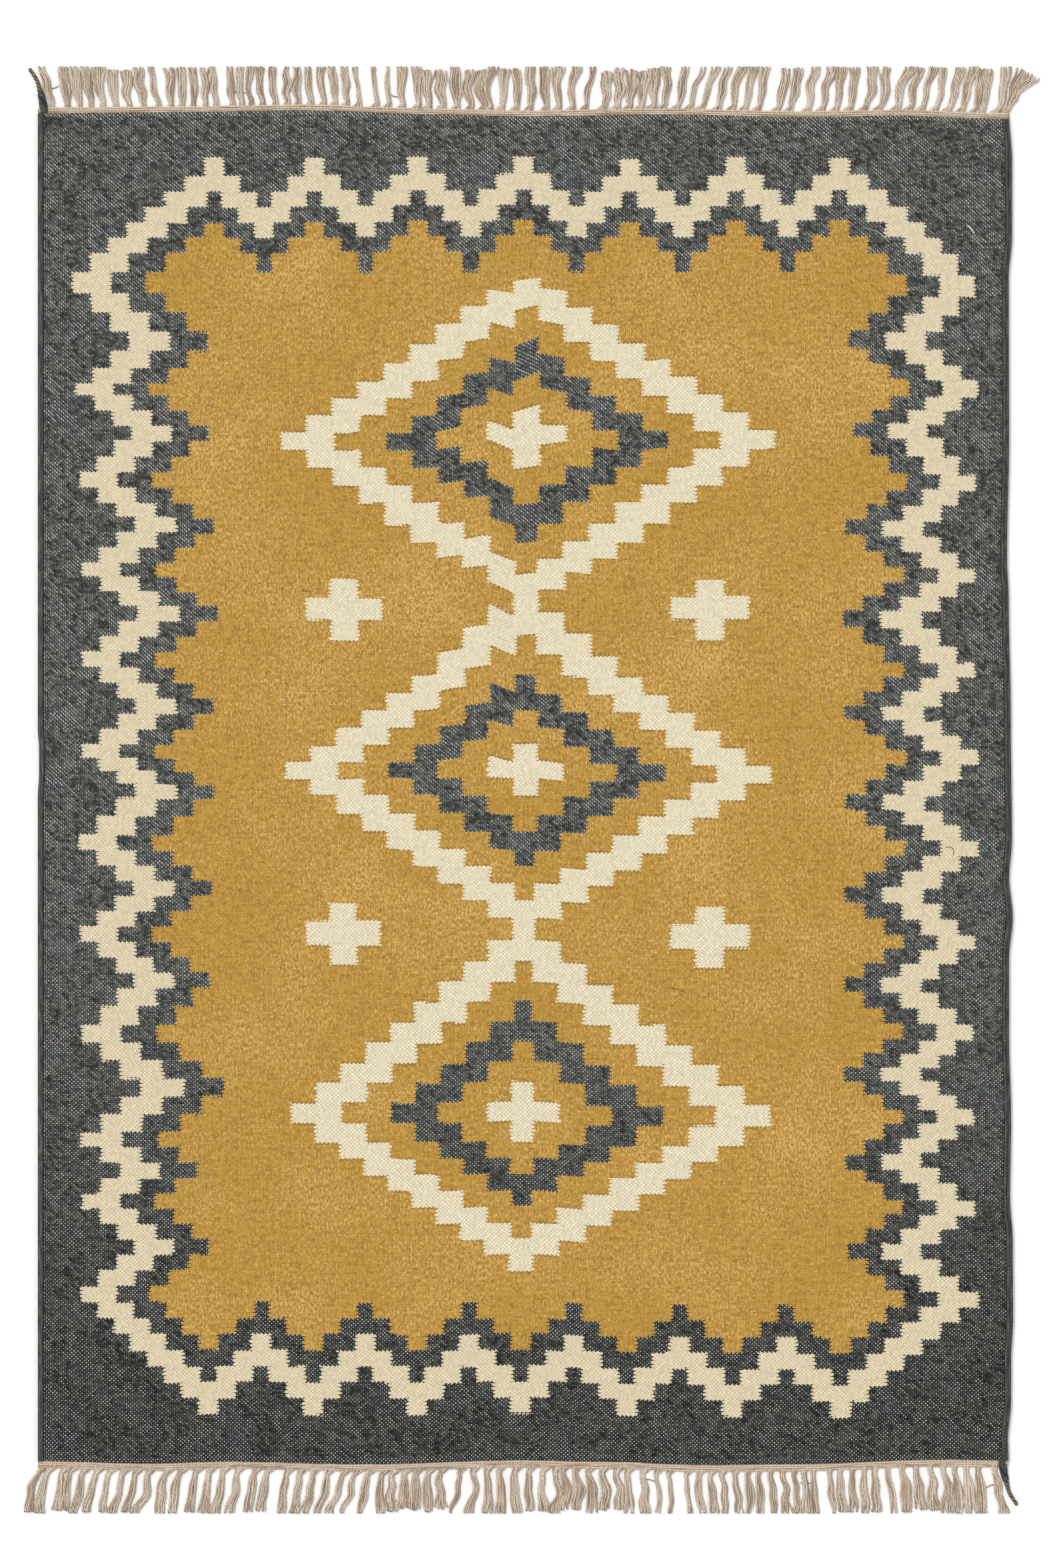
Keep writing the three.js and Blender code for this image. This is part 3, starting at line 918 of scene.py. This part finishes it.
def heading_twines(end):
    """Centre lines of the twisted twines that bind the end of the cloth, and their pitch."""
    depth = abs(end["heading_y"](0) - end["cloth_y"](0))
    count = round(depth / TWINE_PITCH)
    stations = int((RIGHT - LEFT) / TWINE_STEP)
    x = np.linspace(end["from"], end["to"], stations)
    lines = []
    for k in range(count):
        share = (k + 0.5) / count
        y = end["cloth_y"](x) + share * (end["heading_y"](x) - end["cloth_y"](x))
        y = y + TWINE_WANDER * share * (np.sin(x / 17 + k) + np.sin(x / 7.3 + 2 * k))
        lines.append(joined(x, y, HEADING_HEIGHT / 2))
    return np.stack(lines), depth / count


def corner_patch(end):
    """Centre lines of the short rows that close the corner beside the cord end."""
    reach = np.linspace(PATCH_FROM, PATCH_REACH, 6)
    x = end["patch_from"] + end["outward"] * reach
    rows = [end["cloth_y"](x) + end["outward"] * out for out in PATCH_ROWS]
    return np.stack([joined(x, y, HEADING_HEIGHT / 2) for y in rows])


def fringe(name, end, material):
    """A twined heading with its row of plied strands."""
    seed = np.random.default_rng(end["seed"])
    tubes = Tubes()
    locks = lay_out_locks(end["last_lock"])
    strands = np.stack([line for lock in locks for line in lock_strands(lock, end, seed)])
    count, stations, _ = strands.shape
    taper = 1 - STRAND_TAPER * np.linspace(0, 1, stations)
    thick = 2 * STRAND_RADIUS * seed.uniform(*STRAND_THICKNESS, (count, 1)) * taper
    length = np.abs(strands[:, :, 1] - strands[:, :1, 1])
    turns = 2 * math.pi * (length / STRAND_TWIST_LENGTH + seed.random((count, 1)))
    tubes.add(strands, thick, thick, turns, 6, lobes=YARN_LOBES)

    lines, pitch = heading_twines(end)
    direction = np.where(np.arange(len(lines)) % 2, -1, 1)[:, None]
    turns = direction * 2 * math.pi * lines[:, :, 0] / TWINE_TURN
    across, tall = pitch * TWINE_WIDTH, HEADING_HEIGHT * TWINE_HEIGHT
    tubes.add(lines, across, tall, turns, 5, lobes=YARN_LOBES, fullness=TWINE_FULLNESS)
    patch = corner_patch(end)
    tubes.add(patch, PATCH_WIDTH, PATCH_HEIGHT, patch[:, :, 0], 6)
    tubes.tubes = BROWN_FROM
    tubes.add(bridging_threads(end), THREAD_THICKNESS, THREAD_THICKNESS, 0, 5)
    return tubes.piece(name, material)


# Both ends: where the heading starts, past the cord end's corner, and stops, and their lines
TOP_END = {
    "seed": 11,
    "outward": 1,
    "last_lock": LAST_LOCKS[0],
    "reach": FRINGE_REACH_TOP,
    "from": LEFT + 12.6,
    "to": RIGHT - 1,
    "patch_from": LEFT - 0.3,
    "x": lambda along: LEFT + along,
    "cloth_y": lambda x: top_y(x) + PIECE_GAP,
    "heading_y": lambda x: top_y(x) + HEADING_DEPTH_TOP,
    "tip_line": lambda reach: TOP + reach,
}
BOTTOM_END = {
    "seed": 12,
    "outward": -1,
    "last_lock": LAST_LOCKS[1],
    "reach": FRINGE_REACH_BOTTOM,
    "from": RIGHT - 14.4,
    "to": LEFT + 0.5,
    "patch_from": RIGHT - 1.7,
    "x": lambda along: RIGHT - HALF_TURN_SHIFT - along,
    "cloth_y": lambda x: bottom_y(x) - PIECE_GAP,
    "heading_y": lambda x: bottom_y(x) - HEADING_DEPTH_BOTTOM,
    "tip_line": lambda reach: BOTTOM - reach,
}


def stray_fibres(material):
    """Loose fibres and slubs that lie on the cloth."""
    tubes = Tubes()
    share = np.linspace(0, 1, FIBRE_STATIONS)
    swell = np.sqrt(np.clip(1 - (2 * share - 1) ** 4, 0.05, 1))
    for fibre in STRAY_FIBRES:
        run = np.array([fibre["to_across"] - fibre["across"], fibre["down"] - fibre["to_down"]])
        aside = np.array([-run[1], run[0]]) / np.linalg.norm(run)
        start = np.array([LEFT + fibre["across"], TOP - fibre["down"]])
        line = start + share[:, None] * run
        line = line + fibre["bow"] * np.sin(math.pi * share)[:, None] * aside
        z = np.full(FIBRE_STATIONS, GROUND_THICKNESS + RELIEF + fibre["thick"] * 0.3)
        thick = fibre["thick"] * swell
        tubes.add(np.column_stack([line, z]), thick, thick, 0, 6)
    return tubes.piece("stray_fibres", material)


def feed(socket, value):
    """Link a term to an input, or set the input's value."""
    if isinstance(value, Term):
        socket.id_data.links.new(value.socket, socket)
    else:
        socket.default_value = value


def node(kind, inputs, output=0, tree=None, **settings):
    """A new node, in a tree or in the one that its inputs come from."""
    if not tree:
        tree = next(value.tree for value in inputs.values() if isinstance(value, Term))
    made = tree.nodes.new(kind)
    for key, value in settings.items():
        setattr(made, key, value)
    for key, value in inputs.items():
        feed(made.inputs[key], value)
    return Term(made.outputs[output])


def math_node(operation):
    """A function that joins terms and numbers by one kind of math node."""
    return lambda *values: node("ShaderNodeMath", dict(enumerate(values)), operation=operation)


class Term:
    """An output of a shader node that can be used in arithmetic."""

    def __init__(self, socket):
        self.socket = socket
        self.tree = socket.id_data

    def __rsub__(self, other):
        return minus(other, self)

    __add__ = __radd__ = math_node("ADD")
    __mul__ = __rmul__ = math_node("MULTIPLY")
    __sub__ = math_node("SUBTRACT")
    __truediv__ = math_node("DIVIDE")
    __mod__ = math_node("FLOORED_MODULO")
    __lt__ = math_node("LESS_THAN")
    __gt__ = math_node("GREATER_THAN")
    __abs__ = math_node("ABSOLUTE")


whole = math_node("FLOOR")
nearest = math_node("ROUND")
least = math_node("MINIMUM")
most = math_node("MAXIMUM")
minus = math_node("SUBTRACT")
power = math_node("POWER")
times_and_plus = math_node("MULTIPLY_ADD")


def clamp(value):
    return node("ShaderNodeClamp", {"Value": value})


def ramp(value, start, end):
    """0 to 1, smooth, while a value goes from start to end."""
    inputs = {"Value": value, "From Min": start, "From Max": end}
    return node("ShaderNodeMapRange", inputs, interpolation_type="SMOOTHSTEP")


def uv(tree, name):
    """The two numbers of a UV map."""
    pair = node("ShaderNodeUVMap", {}, tree=tree, uv_map=name)
    return [node("ShaderNodeSeparateXYZ", {0: pair}, axis) for axis in "XY"]


def vector(x, y, z=0.0):
    return node("ShaderNodeCombineXYZ", {"X": x, "Y": y, "Z": z})


def noise(place, scale, detail=2.0):
    return node("ShaderNodeTexNoise", {"Vector": place, "Scale": scale, "Detail": detail}, "Fac")


def chance_at(place):
    """A number from 0 to 1 for each whole place."""
    return node("ShaderNodeTexWhiteNoise", {"Vector": place}, "Value")


def mix(share, first, second):
    """Mix of two colours, each a term or an sRGB colour."""
    first, second = (c if isinstance(c, Term) else linear(c) for c in (first, second))
    return node("ShaderNodeMix", {0: share, 6: first, 7: second}, 2, data_type="RGBA")


def brighten(colour, factor):
    """A colour times a number."""
    return node("ShaderNodeVectorMath", {0: colour, "Scale": factor}, operation="SCALE")


def new_material(name):
    material = bpy.data.materials.new(name)
    material.use_nodes = True
    return material


def finish(material, colour, roughness, height, depth):
    """Feed the surface, with a bump whose depth is in millimetres."""
    surface = material.node_tree.nodes["Principled BSDF"].inputs
    bump = {"Strength": 1.0, "Distance": depth * MILLIMETRE, "Height": height}
    feed(surface["Base Color"], colour)
    feed(surface["Roughness"], roughness)
    feed(surface["Normal"], node("ShaderNodeBump", bump))
    surface["Specular IOR Level"].default_value = 0.2
    return material


def linear(colour):
    """Linear RGBA of an sRGB colour given from 0 to 255."""
    shares = [channel / 255 for channel in colour]
    curved = [s / 12.92 if s <= 0.04045 else ((s + 0.055) / 1.055) ** 2.4 for s in shares]
    return (*curved, 1.0)


def triangle(value):
    """1 at whole values and 0 halfway between them."""
    return abs(value % 1.0 * 2.0 - 1.0)


def zigzag(value, spacing, first):
    """Steps to the nearest of the tips that stand at a spacing from a first one."""
    half = spacing / 2
    return abs((value - (first - half)) % spacing - half)


def within(value, low, high):
    """1 while a value lies between two bounds."""
    return (value > low) * (value < high)


def border_depth(column, row):
    """Steps inward from the outer line of the zigzag border."""
    across = abs(column)
    corner = 3 * TIP_SPACING
    tips = most(zigzag(across, TIP_SPACING, 0), across - corner)
    inward = least(row, BORDER_LAST_ROW - row)
    sides = most(zigzag(inward, TIP_SPACING, FIRST_SIDE_TIP), FIRST_SIDE_TIP - inward)
    return least(inward - tips, corner + FIRST_SIDE_TIP - across - sides)


def small_cross(column, row, cross):
    """1 on a cross of five fields."""
    beside = abs(column - cross["column"])
    above = abs(row - cross["row"])
    level = (beside < CROSS_REACH) * (above < CROSS_ARM)
    upright = (beside < CROSS_ARM) * (above < CROSS_REACH)
    return most(level, upright)


def pattern_place(name, warp, pick, picks, aside, on):
    """Column and row of a pattern map some columns aside, and some picks on to the nearer row."""
    column, row = uv(warp.tree, name)
    scallop = (triangle(warp * 0.5) - 0.5) * SCALLOP_DEPTH
    row = row + (scallop - (pick + scallop) % 1.0 + 0.5) / picks
    if on:
        nearer = (row % 1.0 > 0.5) * 2.0 - 1.0
        row = row + nearer * (on / picks)
    return column + aside, row


def yarns_at(warp, pick, aside, on=0):
    """Where cream and charcoal yarn show, and the inside of the border. The rest is mustard."""
    column, row = pattern_place("border", warp, pick, BORDER_PICKS, aside / BORDER_WARPS, on)
    depth = border_depth(nearest(column), whole(row))
    inside = depth > BORDER_CHARCOAL
    cream = within(depth, -0.5, BORDER_CREAM)
    charcoal = most(depth < -0.5, within(depth, BORDER_CREAM, BORDER_CHARCOAL))

    column, row = pattern_place("field", warp, pick, FIELD_PICKS, aside / FIELD_WARPS, on)
    whole_row = whole(row)
    ring = abs(nearest(column)) + zigzag(whole_row, 2 * MEDALLION_REACH, 0)
    here = inside * within(whole_row, FIELD_FIRST_ROW - 0.5, FIELD_LAST_ROW + 0.5)
    field_cream = most(within(ring, *MEDALLION_CREAM), ring < MEDALLION_CROSS)
    for cross in SMALL_CROSSES:
        field_cream = most(field_cream, small_cross(column, row, cross))
    cream = most(cream, here * field_cream)
    charcoal = most(charcoal, here * within(ring, *MEDALLION_CHARCOAL))
    return cream, charcoal, inside


def yarn_regions(warp, pick):
    """Cream and charcoal with interlocked fingers, the inside, and rims where the yarn changes."""
    finger = 1.0 - power(triangle(pick * 0.5), FINGER_ROUNDNESS)
    place = vector(whole(pick * 0.5), whole(warp * 0.12))
    uneven_tooth = TOOTH_UNEVEN["least"] + TOOTH_UNEVEN["more"] * chance_at(place)
    length = finger * uneven_tooth - 0.5
    aside = length * TOOTH_DEPTH
    cream, charcoal, inside = yarns_at(warp, pick, aside)
    other_cream, other_charcoal, _ = yarns_at(warp, pick, aside * -1.0)
    beyond_cream, beyond_charcoal, _ = yarns_at(warp, pick, 0.0, on=1)

    out = length > 0.0
    narrowest = cream * other_cream
    widest = most(cream, other_cream)
    cream = times_and_plus(out, widest - narrowest, narrowest)
    narrowest = charcoal * other_charcoal
    widest = most(charcoal, other_charcoal)
    charcoal = times_and_plus(out, narrowest - widest, widest) * (1.0 - cream)
    last_picks = most(pick < LAST_PICKS, pick > PICKS - LAST_PICKS)
    ticks = most(charcoal * (1.0 - beyond_charcoal), last_picks)
    shadow = (1.0 - cream) * (1.0 - charcoal) * beyond_cream
    return cream, charcoal, inside, ticks, shadow


def crossings(warp, pick, shift):
    """Offsets from the nearest crossing of one kind, and three chances for that crossing.

    The last chance is shared by crossings that follow each other along a diagonal.
    """
    total = (warp + pick) * 0.5 + shift
    difference = (warp - pick) * 0.5 + shift
    total_place = nearest(total)
    difference_place = whole(difference)
    over = total - total_place
    under = difference - difference_place - 0.5
    run_place = whole(total_place / RUN_OF_FLECKS)
    places = [
        vector(total_place, difference_place),
        vector(total_place, difference_place, 5.0),
        vector(run_place, difference_place, 9.0),
    ]
    return over + under, over - under, *map(chance_at, places)


def weave_of(warp, pick):
    """Parts of the plain weave by name: noises, warp flecks, weft grain, painted shade between the
    warps, and chances.
    """
    weave = {}
    for row in NOISES:
        place = vector(warp * row["warp"], pick * row["pick"], row["seed"])
        weave[row["name"]] = noise(place, row["scale"], row["detail"])
    lowered = ramp(pick, *FLECKS_LOWERED)
    beside, above, chance, other_chance, run = crossings(warp, pick, 0.0)
    slant = (1.0 - lowered) * 0.32
    narrow = (beside - above * slant + (other_chance - 0.5) * 0.14) / (0.26 + 0.1 * chance)
    tall = above / (0.66 - lowered * 0.22)
    fleck = 1.0 - ramp(narrow * narrow + tall * tall, 0.15, 1.2)
    beside, above, weft_chance, *_ = crossings(warp, pick, 0.5)
    grain = 1.0 - ramp(beside * beside * 0.9 + above * above * 2.2, 0.0, 0.9)
    # Besides the noises: the grain, which is also the bump's height, and painted shade between the
    # warps
    weave.update(
        lowered=lowered, fleck=fleck, chance=chance, other_chance=other_chance, run=run,
        grain=grain, weft_chance=weft_chance, valley=ramp(triangle(warp), 0.5, 1.0),
    )
    return weave


def lightness(weave, base, **weights):
    """A base with what the named parts of the weave add to it."""
    return base + sum(weave[name] * weight for name, weight in weights.items())


def charcoal_wool(weave, pick, ticks):
    """Dark wool with bluish patches and pale flecks, darker towards the lower end, with painted shade
    on the weft grains and between the warps.
    """
    darker = 1.0 - 0.5 * ramp(pick, *CHARCOAL_DARKENS)
    # Painted shade at the edges of the weft grains, mixed with random tone, darkens the charcoal
    bright = clamp(lightness(weave, **DARK_LIGHTNESS))
    dark = mix(bright, CHARCOAL_DEEP, CHARCOAL)
    blue = ramp(weave["patch"] * 0.7 + weave["mottle"] * 0.3, 0.5, 0.64) * 0.5
    dark = mix(blue, dark, CHARCOAL_BLUE)
    # Painted shade between the warps
    dark = brighten(dark, darker - weave["valley"] * 0.2)
    changes = sum((weave[name] - 0.5) * weight for name, weight in FLECK_CHANGES.items())
    share = FLECKS_SHOWN + changes + 0.14 * weave["lowered"] + ticks * 0.5
    return mix(weave["fleck"] * clamp(share), dark, CHARCOAL_FLECK)


def cream_wool(weave, inside):
    """Cream wool with brownish flecks of warp, deepened by painted shade in the pits between threads,
    a little darker in the border.
    """
    pale = mix(inside, CREAM_BORDER, CREAM)
    pale = brighten(pale, lightness(weave, **PALE_LIGHTNESS))
    shown = (0.1 + 0.6 * weave["chance"]) * (0.7 + 0.6 * weave["lowered"])
    return mix(weave["fleck"] * shown, pale, CREAM_FLECK_AND_SHADE)


def mustard_wool(weave, shadow):
    """Mustard wool with lighter and darker scratches and flecks, with painted shade below cream, on
    the weft grains and between the warps.
    """
    ochre = ramp(weave["strand"] * 0.4 + weave["mottle"] * 0.6, 0.42, 0.66) * 0.5
    gold = mix(ochre, MUSTARD, MUSTARD_DARK)
    gold = brighten(gold, lightness(weave, **GOLD_LIGHTNESS) - shadow * 0.25)
    lit = weave["scratch"] + (weave["cloud"] - 0.5) * 0.4
    gold = mix(ramp(lit, 0.5, 0.72) * 0.7, gold, MUSTARD_LIGHT)
    gold = mix(ramp(weave["scratch"], 0.46, 0.3) * 0.5, gold, MUSTARD_DARK)
    fleck, chance = weave["fleck"], weave["chance"]
    gold = mix(fleck * (0.1 + 0.6 * chance * chance), gold, MUSTARD_LIGHT)
    return mix(fleck * (weave["other_chance"] < 0.14) * 0.8, gold, MUSTARD_DARK)


def woven_cloth():
    """Plain weave in three wools over a pale jute warp that shows as flecks."""
    material = new_material("woven_cloth")
    warp, pick = uv(material.node_tree, "threads")
    cream, charcoal, inside, ticks, shadow = yarn_regions(warp, pick)
    weave = weave_of(warp, pick)
    gold = mustard_wool(weave, shadow)
    light = mix(cream, gold, cream_wool(weave, inside))
    colour = mix(charcoal, light, charcoal_wool(weave, pick, ticks))
    height = most(weave["grain"], weave["fleck"] * 0.7)
    return finish(material, colour, 0.95 - weave["grain"] * 0.08, height, 0.35)


def plied_yarn(material):
    """Number of each tube, place around and along it, grooves of two plies, and fine fibres."""
    girth, length = uv(material.node_tree, "yarn")
    number = whole(girth)
    around = girth - number
    groove = triangle(around * 2.0)
    fibres = noise(vector(around * 9, length * 0.35, number * 3.7), 1.0, 4.0)
    return number, around, length, groove, fibres


def jute_yarn():
    """Pale jute with brown stretches, and brown threads."""
    material = new_material("jute_yarn")
    number, _, length, groove, fibres = plied_yarn(material)
    chance = chance_at(vector(number, 0.0))
    slow = noise(vector(length * 0.03, number * 1.9), 1.0)
    colour = mix(ramp(fibres, 0.3, 0.7), JUTE, JUTE_LIGHT)
    colour = mix(ramp(slow + chance * 0.25, 0.54, 0.82) * 0.7, colour, JUTE_BROWN)
    colour = mix(ramp(groove, 0.6, 1.0) * 0.4, colour, JUTE_SHADE)
    colour = mix((number > BROWN_FROM - 0.5) * 0.85, colour, TAIL_BROWN)
    height = fibres * 0.5 - ramp(groove, 0.5, 1.0)
    return finish(material, colour, 0.9 + fibres * 0.08, height, 0.25)


def binding_wool(name, seam):
    """Dark wool bound along an edge, with a laddered seam if wanted, brown in the cord's tail, and
    painted shade in the cord's ply grooves.
    """
    material = new_material(name)
    number, around, length, groove, fibres = plied_yarn(material)
    streaks = noise(vector(around * 11, length * 0.05), 1.0, 4.0)
    from_seam = abs(around - 0.25)
    rung = ramp(triangle(length / LADDER_PITCH), 0.5, 0.9) * (from_seam < 0.07)
    line = most(1.0 - ramp(from_seam, 0.0, 0.03), rung * 0.7) * (seam * 0.8)
    wool = mix(ramp(streaks, 0.35, 0.75), BINDING, BINDING_LIGHT)
    wool = mix(line, wool, CHARCOAL_DEEP)

    brown = mix(ramp(fibres, 0.4, 0.75), TAIL_BROWN, TAIL_LIGHT)
    ply = mix(ramp(fibres, 0.35, 0.8), BINDING, BINDING_LIGHT)
    ply = mix(ramp(length, 22.0, 32.0), ply, brown)
    # Painted shade in the grooves between the plies
    ply = mix(ramp(groove, 0.5, 1.0) * 0.8, ply, CHARCOAL_DEEP)
    cord = number > 0.5
    height = fibres * cord + (streaks - line) * (1.0 - cord)
    return finish(material, mix(cord, wool, ply), 0.88 + fibres * 0.1, height, 0.3)


def fibre_wool():
    """Stray wool: the first fibres are pale and the later ones dark."""
    material = new_material("stray_wool")
    number, *_, fibres = plied_yarn(material)
    pale_count = sum(fibre["pale"] for fibre in STRAY_FIBRES)
    pale = mix(fibres, FIBRE_PALE, FIBRE_WHITE)
    dark = mix(fibres, FIBRE_DARK, FIBRE_BROWN)
    colour = mix(number > pale_count - 0.5, pale, dark)
    return finish(material, colour, 0.9 + fibres * 0.08, fibres, 0.1)


def floor_piece():
    """A plain pale floor."""
    material = new_material("pale_floor")
    place = node("ShaderNodeTexCoord", {}, "Object", material.node_tree)
    surface = material.node_tree.nodes["Principled BSDF"].inputs
    feed(surface["Base Color"], mix(noise(place, 3.0), FLOOR, FLOOR_LIGHT))
    feed(surface["Roughness"], 0.9)
    mesh = bpy.data.meshes.new("floor")
    signs = ((-1, -1), (1, -1), (1, 1), (-1, 1))
    corners = [(x * FLOOR_REACH, y * FLOOR_REACH, 0) for x, y in signs]
    mesh.from_pydata(corners, [], [(0, 1, 2, 3)])
    mesh.materials.append(material)
    floor = in_scene("floor", mesh)
    return floor


def studio_light():
    """Even light from all round, with a soft lamp from the upper left."""
    world = bpy.data.worlds.new("studio")
    world.use_nodes = True
    background = world.node_tree.nodes["Background"]
    background.inputs["Color"].default_value = (1, 1, 1, 1)
    background.inputs["Strength"].default_value = SKY_STRENGTH
    bpy.context.scene.world = world
    bpy.context.scene.view_settings.view_transform = "Standard"
    lamp = bpy.data.lights.new("soft_lamp", "SUN")
    lamp.energy = LAMP_ENERGY
    lamp.angle = LAMP_SPREAD
    holder = in_scene("soft_lamp", lamp)
    holder.rotation_euler = Vector(LAMP_FROM).to_track_quat("Z", "Y").to_euler()


def camera():
    """A long lens straight above the rug, framed as the picture."""
    lens = bpy.data.cameras.new("camera")
    lens.sensor_fit = "VERTICAL"
    lens.sensor_height = SENSOR
    lens.sensor_width = SENSOR * PICTURE_WIDTH / PICTURE_HEIGHT
    lens.lens = SENSOR * CAMERA_HEIGHT / (PICTURE_HEIGHT * PIXEL * MILLIMETRE)
    lens.clip_end = 100
    holder = in_scene("camera", lens)
    x = (LEFT + VIEW_CENTRE["across"]) * MILLIMETRE + SHIFT[0]
    y = VIEW_CENTRE["up"] * MILLIMETRE + SHIFT[1]
    holder.location = (x, y, CAMERA_HEIGHT)
    bpy.context.scene.camera = holder


def dress_rug():
    """Every piece of the rug, attached to the root body, with the solids it stands for hidden."""
    ground = woven_ground(woven_cloth())
    left = bound_edge("edge_left", LEFT_SIDE, binding_wool("binding_wool", 0.0))
    right = bound_edge("edge_right", RIGHT_SIDE, binding_wool("seamed_binding_wool", 1.0))
    jute = jute_yarn()
    top = fringe("jute_fringe_top", TOP_END, jute)
    bottom = fringe("jute_fringe_bottom", BOTTOM_END, jute)
    fibres = stray_fibres(fibre_wool())
    stands_for = [
        (ground, "woven_ground", "woven_ground"),
        (left, "selvedge_left", "bound_edge"),
        (right, "selvedge_right", "bound_edge"),
        (top, "fringe_top", "jute_yarn"),
        (bottom, "fringe_bottom", "jute_yarn"),
        (fibres, "woven_ground", "woven_ground"),
    ]
    for piece, node, slot in stands_for:
        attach(piece, "root")
        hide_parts(node)
    floor = floor_piece()


camera()
studio_light()
dress_rug()
